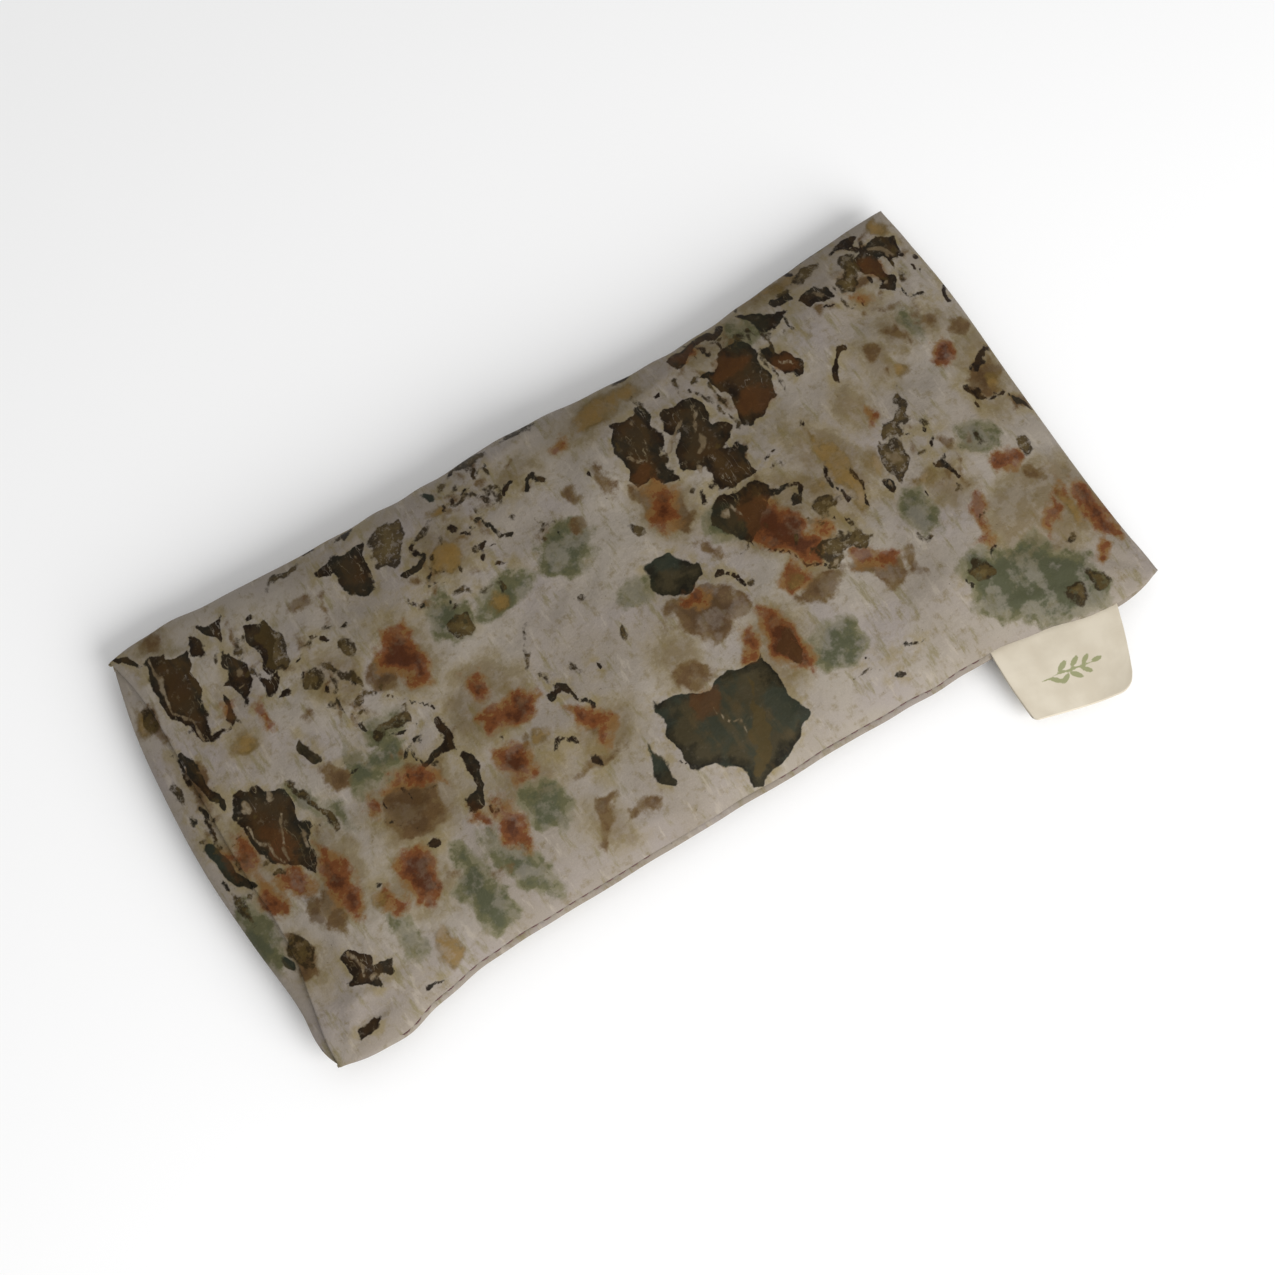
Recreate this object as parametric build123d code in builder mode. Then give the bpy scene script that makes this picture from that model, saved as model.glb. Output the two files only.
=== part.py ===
"""Eye pillow: a printed silk slip cover with a tuck-in flap, and a cotton insert filled with flax and lavender.

The frame is in millimetres. X runs along the pillow with the open end at -X, Y across it with the label on the
-Y edge, and Z up. The origin is on the flat patch that the pillow rests on, below its middle.
"""

import os
from math import cos, pi, radians, sin

from build123d import *

# The slip cover, seam to seam
length = 220.0
end_width = 112.0  # across the corners
waist_width = 104.0  # across the middle, where the filling draws the long edges in
seam_height = 7.0  # of the perimeter seam above the table
crown = 15.0  # top of the cover above the seam
belly = 10.0  # bottom of the free shape below the seam; the table flattens what is lower
edge_share = 0.05  # of the height that is left where a section closes
roundness = 2.6  # power of the section's curve, 2 for an ellipse

# Layers, each given as its depth below the cover's outer face
silk = 0.35
hem_depth = 2 * silk  # the mouth's hem is two layers of silk
flap_depth = 0.95
cotton = 0.5
insert_depth = 1.6
slack = 0.05  # between the filling and the insert's cloth

# Open end
mouth_draw = 5.0  # how far the mouth's edge draws back at its middle
hem_width = 13.0
flap_reach = 44.0  # how far the flap tucks in under the front panel
flap_gap = 0.25  # between the flap and the seam allowances
flap_hem = 7.0  # from the flap's free edge to its hem stitching

# Stitching
allowance = 4.6  # turned in along the three sewn edges
thread_radius = 0.2
stitch_pitch = 3.3
stitch_length = 2.5
thread_bite = 0.05  # from the seam's outer line to the thread's axis

# Insert: a bag a little smaller than the cover, with a flat lip topstitched shut
insert_inset = 5.0  # from the cover's seam to the insert's
insert_floor = silk + 0.3
lip_length = 3.6
lip_bite = 0.4  # of the lip inside the bag
bud_count = 24
bud_length = 4.6
bud_radius = 1.1
bud_rounding = 0.8
golden_turn = 137.508  # degrees between neighbouring buds

# Label: a ribbon folded in half with both ends sewn into the -Y seam
label_x = 82.0
label_width = 31.0
label_reach = 20.5
label_thickness = 0.9
ribbon = 0.3
ribbon_sewn_in = 4.2
label_ends_out = 0.4  # how far the sewn-in ends stand out of the seam
label_droop = radians(11.5)  # below the horizontal
label_hinge_gap = 1.0  # from the seam to the line that the label bends about

half_length = length / 2
seam_plane = Plane.XY.offset(seam_height)


def half_width(x):
    """Half the cover's width at x: the long edges curve in between the corners."""
    return (waist_width + (end_width - waist_width) * (x / half_length) ** 2) / 2


def fullness(u):
    """Share of the full height at u, from 0 at the middle to 1 or -1 at a seam."""
    return max(max(1 - abs(u) ** roundness, 0) ** 0.5, edge_share)


def top_height(x, y, depth):
    """Height of the pillow's top, that many millimetres inside the cover's outer face."""
    along = fullness(x / (half_length - depth))
    across = fullness(y / (half_width(x) - depth))
    return seam_height + (crown - depth) * along * across


def half_pillow(inset, depth, height):
    """The pillow shape above the seam plane, or below it where height is negative.

    It is smaller by inset in plan and by depth in height than the cover's outer face.
    """
    stations = [sin(pi / 2 * k / 7) for k in range(-7, 8)]
    spread = [-0.96, -0.85, -0.62, -0.33, 0, 0.33, 0.62, 0.85, 0.96]
    full = height - depth if height > 0 else height + depth
    with BuildPart() as half:
        for s in stations:
            x = s * (half_length - inset)
            w = half_width(x) - inset
            with BuildSketch(Plane.YZ.offset(x)):
                with BuildLine():
                    arch = [(w * u, seam_height + full * fullness(s) * fullness(u)) for u in spread]
                    Spline((-w, seam_height), *arch, (w, seam_height))
                    Line((w, seam_height), (-w, seam_height))
                make_face()
        loft(ruled=True)
    return half.part


def edge_strip(inset, base):
    """A seam allowance: a strip of silk inside the long edges and the closed end, its underside at base."""

    def turned_in(by):
        right = half_length - by
        left = -half_length + mouth_draw
        with BuildSketch(Plane.XY.offset(base)) as outline:
            with BuildLine():
                ThreePointArc((left, half_width(left) - by), (0, half_width(0) - by), (right, half_width(right) - by))
                Line((right, half_width(right) - by), (right, by - half_width(right)))
                ThreePointArc((right, by - half_width(right)), (0, by - half_width(0)), (left, by - half_width(left)))
                Line((left, by - half_width(left)), (left, half_width(left) - by))
            make_face()
        return outline.sketch

    with BuildPart() as strip:
        extrude(turned_in(inset), amount=silk)
        extrude(turned_in(inset + allowance), amount=silk, mode=Mode.SUBTRACT)
    return strip.part


def mouth_cutter():
    """What the front panel leaves out at the open end, where its edge draws back between the corners."""
    corner = end_width / 2
    with BuildPart() as cutter:
        with BuildSketch(Plane.XY):
            with BuildLine():
                ThreePointArc((-half_length, -corner), (mouth_draw - half_length, 0), (-half_length, corner))
                Polyline((-half_length, corner), (-length, corner), (-length, -corner), (-half_length, -corner))
            make_face()
        extrude(amount=seam_height + 2 * crown)
    return cutter.part


def stitches(places):
    """One short bar of thread on each plane, along the plane's normal."""
    with Locations(*places):
        Cylinder(thread_radius, stitch_length)


def long_edge(side, inset, reach):
    """Places of the stitches along a long edge up to reach from the middle: side is 1 for +Y and -1 for -Y."""
    count = int(2 * reach / stitch_pitch)
    rise = (end_width - waist_width) / half_length**2  # the edge's slope is rise times x
    places = []
    for k in range(count):
        x = (k - (count - 1) / 2) * stitch_pitch
        y = side * (half_width(x) - inset)
        places.append(Plane(origin=(x, y, seam_height), z_dir=(1, side * rise * x, 0)))
    return places


def straight_row(x, reach, z):
    """Places of the stitches along a level line across the pillow."""
    count = int(2 * reach / stitch_pitch)
    rows = [(k - (count - 1) / 2) * stitch_pitch for k in range(count)]
    return [Plane(origin=(x, y, z), z_dir=(0, 1, 0)) for y in rows]


def arched_row(x, reach, depth):
    """Places of the stitches along a line across the pillow that follows its top."""
    count = int(2 * reach / stitch_pitch)
    places = []
    for k in range(count):
        y = (k - (count - 1) / 2) * stitch_pitch
        climb = top_height(x, y + 1, depth) - top_height(x, y - 1, depth)
        places.append(Plane(origin=(x, y, top_height(x, y, depth)), z_dir=(0, 2, climb)))
    return places


# Slip cover -----------------------------------------------------------------------------------------------------

cover_top = half_pillow(0, 0, crown)
hem_inside = half_pillow(hem_depth, hem_depth, crown)
cover_inside = half_pillow(silk, silk, crown)
flap_outside = half_pillow(flap_depth, flap_depth, crown)
flap_inside = half_pillow(flap_depth + silk, flap_depth + silk, crown)

with BuildPart() as past_hem:
    add(cover_inside)
    split(bisect_by=Plane.YZ.offset(hem_width - half_length), keep=Keep.TOP)

with BuildPart() as cover_front_panel:
    add(cover_top)
    add(hem_inside, mode=Mode.SUBTRACT)
    add(past_hem.part, mode=Mode.SUBTRACT)
    add(edge_strip(silk / 2, seam_height))
    add(mouth_cutter(), mode=Mode.SUBTRACT)

with BuildPart() as back_inside:
    add(half_pillow(silk, silk, -belly))
    split(bisect_by=Plane.XY.offset(silk), keep=Keep.TOP)

with BuildPart() as cover_back_panel:
    add(half_pillow(0, 0, -belly))
    split(bisect_by=Plane.XY, keep=Keep.TOP)
    add(back_inside.part, mode=Mode.SUBTRACT)
    add(edge_strip(silk / 2, seam_height - silk))

with BuildPart() as cover_tuck_flap:
    add(flap_outside)
    add(flap_inside, mode=Mode.SUBTRACT)
    split(bisect_by=seam_plane.offset(silk + flap_gap), keep=Keep.TOP)
    split(bisect_by=Plane.YZ.offset(flap_reach - half_length), keep=Keep.BOTTOM)

seam_reach = half_length - mouth_draw
with BuildPart() as seam_thread_label_edge:
    stitches(long_edge(-1, thread_bite, seam_reach))

with BuildPart() as seam_thread_plain_edge:
    stitches(long_edge(1, thread_bite, seam_reach))

with BuildPart() as seam_thread_closed_end:
    stitches(straight_row(half_length - thread_bite, end_width / 2 - 2, seam_height))

flap_row = flap_reach - flap_hem - half_length
with BuildPart() as flap_hem_thread:
    stitches(arched_row(flap_row, 0.85 * half_width(flap_row), flap_depth))

# Insert ---------------------------------------------------------------------------------------------------------

insert_end = insert_inset - half_length
lip_half = half_width(insert_end) - insert_inset - 1.5
lip_middle = insert_end + lip_bite - lip_length / 2
cloth_inset = insert_inset + cotton
cloth_depth = insert_depth + cotton


def lip(base):
    """One layer of the flat lip at the insert's filling end."""
    with BuildPart() as layer:
        with BuildSketch(Plane.XY.offset(base)):
            with Locations((lip_middle, 0)):
                RectangleRounded(lip_length, 2 * lip_half, 1)
        extrude(amount=cotton)
    return layer.part


with BuildPart() as insert_top_panel:
    add(half_pillow(insert_inset, insert_depth, crown))
    add(half_pillow(cloth_inset, cloth_depth, crown), mode=Mode.SUBTRACT)
    add(lip(seam_height))

with BuildPart() as insert_hollow:
    add(half_pillow(cloth_inset, cloth_depth, -belly))
    split(bisect_by=Plane.XY.offset(insert_floor + cotton), keep=Keep.TOP)

with BuildPart() as insert_bottom_panel:
    add(half_pillow(insert_inset, insert_depth, -belly))
    split(bisect_by=Plane.XY.offset(insert_floor), keep=Keep.TOP)
    add(insert_hollow.part, mode=Mode.SUBTRACT)
    add(lip(seam_height - cotton))

insert_seam_reach = half_length - insert_inset - stitch_pitch
with BuildPart() as insert_side_threads:
    stitches(long_edge(1, insert_inset + thread_bite, insert_seam_reach))
    stitches(long_edge(-1, insert_inset + thread_bite, insert_seam_reach))

with BuildPart() as insert_end_thread:
    stitches(straight_row(half_length - insert_inset - thread_bite, lip_half - 1, seam_height))

with BuildPart() as insert_closing_thread:
    stitches(straight_row(lip_middle, lip_half - 1, seam_height + cotton))

with BuildPart() as bud:
    Cylinder(bud_radius, bud_length)
    fillet(bud.edges(), bud_rounding)

bud_places = []
for k in range(bud_count):
    share = ((k + 0.5) / bud_count) ** 0.5
    turn = radians(golden_turn * k)
    spot = (0.8 * half_length * share * cos(turn), 0.35 * waist_width * share * sin(turn), seam_height + 2)
    bud_places.append(Plane(origin=spot, z_dir=(cos(2 * turn), sin(2 * turn), 0)))

with BuildPart() as lavender_buds:
    with Locations(*bud_places):
        add(bud.part)

with BuildPart() as flaxseed_fill:
    add(half_pillow(cloth_inset + slack, cloth_depth + slack, crown))
    add(half_pillow(cloth_inset + slack, cloth_depth + slack, -belly))
    split(bisect_by=Plane.XY.offset(insert_floor + cotton + slack), keep=Keep.TOP)
    add(lavender_buds.part, mode=Mode.SUBTRACT)

# Label ----------------------------------------------------------------------------------------------------------

label_edge = half_width(label_x + label_width / 2)

with BuildPart() as label_ends:
    with BuildSketch(seam_plane.offset(-ribbon)):
        with Locations((label_x, -label_edge - label_ends_out)):
            Rectangle(label_width, ribbon_sewn_in + label_ends_out, align=(Align.CENTER, Align.MIN))
    extrude(amount=2 * ribbon)

label_plane = Plane(
    origin=(label_x - label_width / 2, -label_edge - label_hinge_gap, seam_height),
    x_dir=(0, -cos(label_droop), -sin(label_droop)),
    z_dir=(1, 0, 0),
)
with BuildPart() as label_flap:
    with BuildSketch(label_plane):
        with Locations(((label_reach - label_thickness) / 2, 0)):
            SlotOverall(label_reach, label_thickness)
            SlotOverall(label_reach - 2 * ribbon, label_thickness - 2 * ribbon, mode=Mode.SUBTRACT)
    extrude(amount=label_width)

# Export ---------------------------------------------------------------------------------------------------------

nodes = {
    "cover_front_panel": cover_front_panel,
    "cover_back_panel": cover_back_panel,
    "cover_tuck_flap": cover_tuck_flap,
    "seam_thread_label_edge": seam_thread_label_edge,
    "seam_thread_plain_edge": seam_thread_plain_edge,
    "seam_thread_closed_end": seam_thread_closed_end,
    "flap_hem_thread": flap_hem_thread,
    "insert_top_panel": insert_top_panel,
    "insert_bottom_panel": insert_bottom_panel,
    "insert_side_threads": insert_side_threads,
    "insert_end_thread": insert_end_thread,
    "insert_closing_thread": insert_closing_thread,
    "flaxseed_fill": flaxseed_fill,
    "lavender_buds": lavender_buds,
    "label_ends": label_ends,
    "label_flap": label_flap,
}
os.makedirs("parts", exist_ok=True)
for name, built in nodes.items():
    built.part.label = name
    export_step(built.part, f"parts/{name}.step")
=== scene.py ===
"""Looks for the eye pillow: printed silk panels, the tuck flap, the label, the stitching and the cotton insert.

Lengths in this file are millimetres until a mesh is made. X runs along the pillow with the open end at -X, Y across
it with the label on the -Y edge, and Z up, as in the CAD model.
"""

import math

import bpy
import numpy as np
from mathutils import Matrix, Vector


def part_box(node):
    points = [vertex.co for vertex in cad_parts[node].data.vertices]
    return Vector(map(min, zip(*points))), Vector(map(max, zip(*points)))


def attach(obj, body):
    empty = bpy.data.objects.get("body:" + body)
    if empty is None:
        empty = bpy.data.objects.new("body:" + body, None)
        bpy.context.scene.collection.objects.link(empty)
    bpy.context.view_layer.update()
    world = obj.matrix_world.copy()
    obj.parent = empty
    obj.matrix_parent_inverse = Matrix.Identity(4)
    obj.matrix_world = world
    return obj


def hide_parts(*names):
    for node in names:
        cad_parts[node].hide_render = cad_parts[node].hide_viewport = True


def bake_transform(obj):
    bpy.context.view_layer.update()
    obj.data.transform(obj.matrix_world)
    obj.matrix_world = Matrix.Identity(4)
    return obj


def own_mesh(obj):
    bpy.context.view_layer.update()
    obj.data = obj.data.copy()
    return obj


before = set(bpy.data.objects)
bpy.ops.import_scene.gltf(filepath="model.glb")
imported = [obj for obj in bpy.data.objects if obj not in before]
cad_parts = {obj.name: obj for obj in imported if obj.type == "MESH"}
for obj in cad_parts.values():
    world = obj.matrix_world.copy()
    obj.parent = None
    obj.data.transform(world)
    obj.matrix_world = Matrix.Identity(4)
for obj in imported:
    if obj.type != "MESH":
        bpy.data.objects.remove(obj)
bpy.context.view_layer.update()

MM = 0.001


def node_box(node):
    """A CAD node's lowest and highest corners, in millimetres."""
    low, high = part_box(node)
    return np.array(low) / MM, np.array(high) / MM


front_low, front_high = node_box("cover_front_panel")
HALF_LENGTH = front_high[0]
HALF_WIDTH = 54.0  # a usual distance of a long seam from the middle
CORNER_Y = 56.0  # a corner's distance from the middle
SEAM_Z = front_low[2]
CROWN = front_high[2] - SEAM_Z
BELLY = 10.0  # depth of the free shape below the seam, before the table flattens it
ROUNDNESS = 2.6  # power of the section's curve, 2 for an ellipse
SEAM_DRAW = 0.7  # how far the stitches draw the cloth in at a long seam
HEM_THICK = 0.9  # the front panel's hem, two layers of silk
FLAP_GAP = 0.45  # room between the hem and the flap under it
FLAP_RISE = 0.75  # how much closer to the front panel the flap lies past the hem
FLAP_REACH = node_box("cover_tuck_flap")[1][0] + HALF_LENGTH

# Outlines, as (place along the edge, distance from the middle)
FAR_SEAM = [(-110, 56.2), (-95, 56.6), (-80, 55.3), (-60, 54.3), (-40, 53.8), (-20, 53.5), (-4, 54.3), (20, 52.3),
            (45, 51.3), (60, 52), (80, 53.8), (100, 55.5), (110, 56.4)]
NEAR_SEAM = [(-110, 55.4), (-93, 55.6), (-86, 53.4), (-72, 51.2), (-45, 50.5), (0, 50.6), (45, 51.2), (70, 52.2),
             (80, 54), (90, 56.3), (100, 57.2), (107, 56.7), (110, 56)]
OPEN_FOLD = [(-56, 110.6), (-49, 113), (-40, 112.8), (-20, 114.8), (0, 116.2), (20, 115.8), (40, 114), (56, 110.6)]
HEM_EDGE = [(-56, 110.2), (-49, 110), (-40, 108.6), (-30, 106.8), (-22, 106.4), (-5, 107.2), (20, 107.2),
            (40, 107.4), (50, 108.8), (56, 110.2)]
CLOSED_SEAM = [(-56, 110), (-40, 109.3), (0, 110), (30, 111.2), (56, 110)]


# Curves and surfaces --------------------------------------------------------------------------------------------


def through(points, at):
    """A smooth curve through a few points, evaluated at many places."""
    xs, ys = np.array(points, float).T
    slopes = np.gradient(ys, xs)
    at = np.clip(at, xs[0], xs[-1])
    k = np.clip(np.searchsorted(xs, at) - 1, 0, len(xs) - 2)
    h = xs[k + 1] - xs[k]
    t = (at - xs[k]) / h
    start, end = ys[k], ys[k + 1]
    return (
        start * (1 + 2 * t) * (1 - t) ** 2
        + end * t * t * (3 - 2 * t)
        + h * slopes[k] * t * (1 - t) ** 2
        - h * slopes[k + 1] * t * t * (1 - t)
    )


def ripple(x, y, size, seed):
    """A smooth random field of about unit height, with waves about size millimetres long."""
    rng = np.random.default_rng(seed)
    total = 0
    for _ in range(12):
        turn, phase = rng.uniform(0, 2 * np.pi, 2)
        wave = 2 * np.pi / size * rng.uniform(0.6, 1.5)
        total = total + np.sin(wave * (x * np.cos(turn) + y * np.sin(turn)) + phase)
    return total / 6**0.5


def smooth_step(low, high, value):
    t = np.clip((value - low) / (high - low), 0, 1)
    return t * t * (3 - 2 * t)


def distance_to_line(x, y, points):
    """Distance from each place to a line through hand-placed points, and the share of the way along it."""
    best = np.full(np.shape(x), 1e9)
    along = np.zeros(np.shape(x))
    spans = len(points) - 1
    for k, ((ax, ay), (bx, by)) in enumerate(zip(points, points[1:])):
        dx, dy = bx - ax, by - ay
        t = np.clip(((x - ax) * dx + (y - ay) * dy) / (dx * dx + dy * dy), 0, 1)
        d = np.hypot(x - ax - t * dx, y - ay - t * dy)
        along = np.where(d < best, (k + t) / spans, along)
        best = np.minimum(best, d)
    return best, along


def fullness(u):
    """Share of the full height at u, from 1 in the middle to 0 at a seam."""
    return np.maximum(1 - np.abs(u) ** ROUNDNESS, 0) ** 0.5


def far_seam(x):
    """Distance of the far long seam from the middle, with its small waver."""
    return through(FAR_SEAM, x) + 0.12 * ripple(x, 0, 15, 62)


def near_seam(x):
    """Distance of the label-side seam from the middle, with its small waver."""
    return through(NEAR_SEAM, x) + 0.12 * ripple(x, 0, 17, 61)


def groove(height):
    """How far the cloth is drawn in beside a sewn seam, at a height above or below it."""
    return SEAM_DRAW * np.clip(1 - height / 1.3, 0, 1) ** 2


def shares(x, y):
    """Where a place lies between the two ends and between the two long seams, each from -1 to 1."""
    left = -through(OPEN_FOLD, y)
    right = through(CLOSED_SEAM, y)
    far, near = far_seam(x), -near_seam(x)
    return (2 * x - left - right) / (right - left), (2 * y - far - near) / (far - near)


# Long soft creases: points, height and half width. A negative height is a valley.
CREASES = [
    ([(49, -8), (54, -28), (57, -50)], 0.55, 1.4),
    ([(57, -14), (62, -30), (64, -44)], 0.5, 1.3),
    ([(52, -10), (56, -30), (60, -50)], -0.4, 1.2),
    ([(96, 18), (104, 38)], 0.4, 1.3),
    ([(99, -8), (106, -32)], 0.4, 1.4),
    ([(84, -34), (97, -46)], 0.35, 1.4),
    ([(70, -44), (98, -53)], 0.4, 1.6),
    ([(-107, -44), (-86, -46)], 0.5, 1.5),
    ([(-108, -49), (-92, -50)], -0.5, 1.3),
    ([(-98, -44), (-97, -20), (-96, 4)], 0.28, 1.6),
    ([(-97, 12), (-97, 46)], 0.25, 1.5),
    ([(-104, 48), (-88, 44)], 0.4, 1.6),
    ([(-60, 44), (-44, 50)], 0.4, 2.0),
    ([(-14, 48), (8, 50)], 0.5, 2.2),
    ([(12, -46), (22, -38)], 0.35, 1.6),
    ([(-30, -44), (-12, -48)], 0.4, 1.8),
    ([(24, 40), (44, 46)], 0.35, 1.8),
    ([(86, 44), (104, 48)], 0.45, 1.5),
]


CREASE_HEIGHT = 1.35  # how much higher all of them stand


def relief(x, y):
    """How far the cloth stands out of its smooth shape: seed lumps, seam puckers, corner folds and creases."""
    s, t = shares(x, y)
    to_side = (1 - np.abs(t)) * HALF_WIDTH
    to_end = (1 - np.abs(s)) * HALF_LENGTH
    lumps = 0.45 * ripple(x, y, 46, 3) + 0.2 * ripple(x, y, 17, 5) + 0.06 * ripple(x, y, 7, 6)
    lumps = lumps * smooth_step(2, 22, np.minimum(to_side, to_end))
    waves = np.sin(x * 2 * np.pi / 12.5 + 2.2 * ripple(x, 0, 55, 11 + (y > 0)) + 0.05 * to_side)
    strength = 0.5 + 0.5 * ripple(x, 0, 38, 21 + (y > 0))
    pucker = 0.42 * waves * strength * np.exp(-((to_side / 9) ** 2)) * smooth_step(0, 2.5, to_side)
    waves = np.sin(y * 2 * np.pi / 10.5 + 1.8 * ripple(y, 0, 48, 31 + (x > 0)))
    pucker = pucker + 0.3 * waves * np.exp(-((to_end / 7) ** 2)) * smooth_step(0, 2.5, to_end)
    folds = 0
    for k, (cx, cy) in enumerate([(-110, -CORNER_Y), (-110, CORNER_Y), (110, -CORNER_Y), (110, CORNER_Y)]):
        away = np.hypot(x - cx, y - cy)
        turn = np.arctan2(np.abs(y - cy), np.abs(x - cx))
        rays = np.sin(turn * (9 + k % 3) + 1.3 * k) * np.exp(-away / 15) * smooth_step(1, 9, away)
        folds = folds + 0.95 * rays * np.sin(2 * turn)
    lines = 0
    for points, height, half in CREASES:
        d, along = distance_to_line(x, y, points)
        fade = np.sin(np.pi * np.clip(along, 0.06, 0.94)) ** 0.6
        lines = lines + CREASE_HEIGHT * height * np.exp(-((d / half) ** 2)) * fade
    return lumps + pucker + folds + lines * smooth_step(0, 3, np.minimum(to_side, to_end))


def normals(places):
    """Unit normals of a grid of places, from the differences along its rows and columns."""
    down = np.gradient(places, axis=0)
    across = np.gradient(places, axis=1)
    n = np.cross(down, across)
    return n / np.maximum(np.linalg.norm(n, axis=2, keepdims=True), 1e-9)


def front_surface(x, y):
    """The cover's outer face above the seam."""
    s, t = shares(x, y)
    full = fullness(s) * fullness(t)
    z = SEAM_Z + CROWN * full
    places = np.stack([x, y, z], axis=-1)
    places = places + normals(places) * (relief(x, y) * smooth_step(0, 0.5, full))[..., None]
    places[..., 1] -= np.sign(t) * smooth_step(0.9, 0.97, np.abs(t)) * groove(places[..., 2] - SEAM_Z)
    return places


def back_surface(x, y):
    """The cover's outer face below the seam, flat where the table holds it."""
    s, t = shares(x, y)
    free = SEAM_Z - BELLY * fullness(s) * fullness(t)
    soft = 1.4  # how gently the face meets the table
    z = soft * np.logaddexp(0, free / soft) * smooth_step(-3.2, 1.5, free)
    return np.stack([x, y, z], axis=-1)


def settle(places):
    """Moves the cover's places a little in plan, as the filled cover lies slightly out of square."""
    s, t = places[..., 0] / HALF_LENGTH, places[..., 1] / CORNER_Y
    moved = places.copy()
    moved[..., 0] += -0.08 - 0.3 * s - 0.55 * t - 1.05 * s * t
    moved[..., 1] += 1.03 * s + 0.69 * t + 0.61 * s * t
    return moved


def grid_quads(index):
    """The four corners of each cell, from a grid of point numbers."""
    return np.stack([index[:-1, :-1], index[1:, :-1], index[1:, 1:], index[:-1, 1:]], axis=-1).reshape(-1, 4)


def grid_object(name, places, material, fields=(), smooth=True):
    """A mesh of quads over a grid of places in millimetres, with one value or vector per place for each field."""
    rows, columns = places.shape[:2]
    index = np.arange(rows * columns).reshape(rows, columns)
    quads = grid_quads(index)
    mesh = bpy.data.meshes.new(name)
    mesh.from_pydata((places.reshape(-1, 3) * MM).tolist(), [], quads.tolist())
    mesh.update()
    for field, values in dict(fields).items():
        vector = values.ndim == 3
        attribute = mesh.attributes.new(field, "FLOAT_VECTOR" if vector else "FLOAT", "POINT")
        attribute.data.foreach_set("vector" if vector else "value", values.astype(np.float32).ravel())
    mesh.polygons.foreach_set("use_smooth", [smooth] * len(mesh.polygons))
    mesh.materials.append(material)
    piece = bpy.data.objects.new(name, mesh)
    bpy.context.scene.collection.objects.link(piece)
    return piece


def apply_modifiers(piece):
    """Turns a piece's modifiers into plain mesh."""
    evaluated = piece.evaluated_get(bpy.context.evaluated_depsgraph_get())
    made = bpy.data.meshes.new_from_object(evaluated)
    piece.modifiers.clear()
    piece.data = made


def thicken(piece, thick, levels=1):
    """Gives a sheet its cloth's thickness, inwards, after smoothing it."""
    if levels:
        finer = piece.modifiers.new("finer", "SUBSURF")
        finer.levels = finer.render_levels = levels
    if thick:
        solid = piece.modifiers.new("thickness", "SOLIDIFY")
        solid.thickness = thick * MM
        solid.offset = -1
    apply_modifiers(piece)


# The print ------------------------------------------------------------------------------------------------------
# Each colour is a list of marks, in millimetres: ovals as (x, y, width, height) and sometimes a turn in
# degrees, leaves as lists of corners, and strokes as a line with its half width. A mark's field is the depth inside
# its edge.

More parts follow.
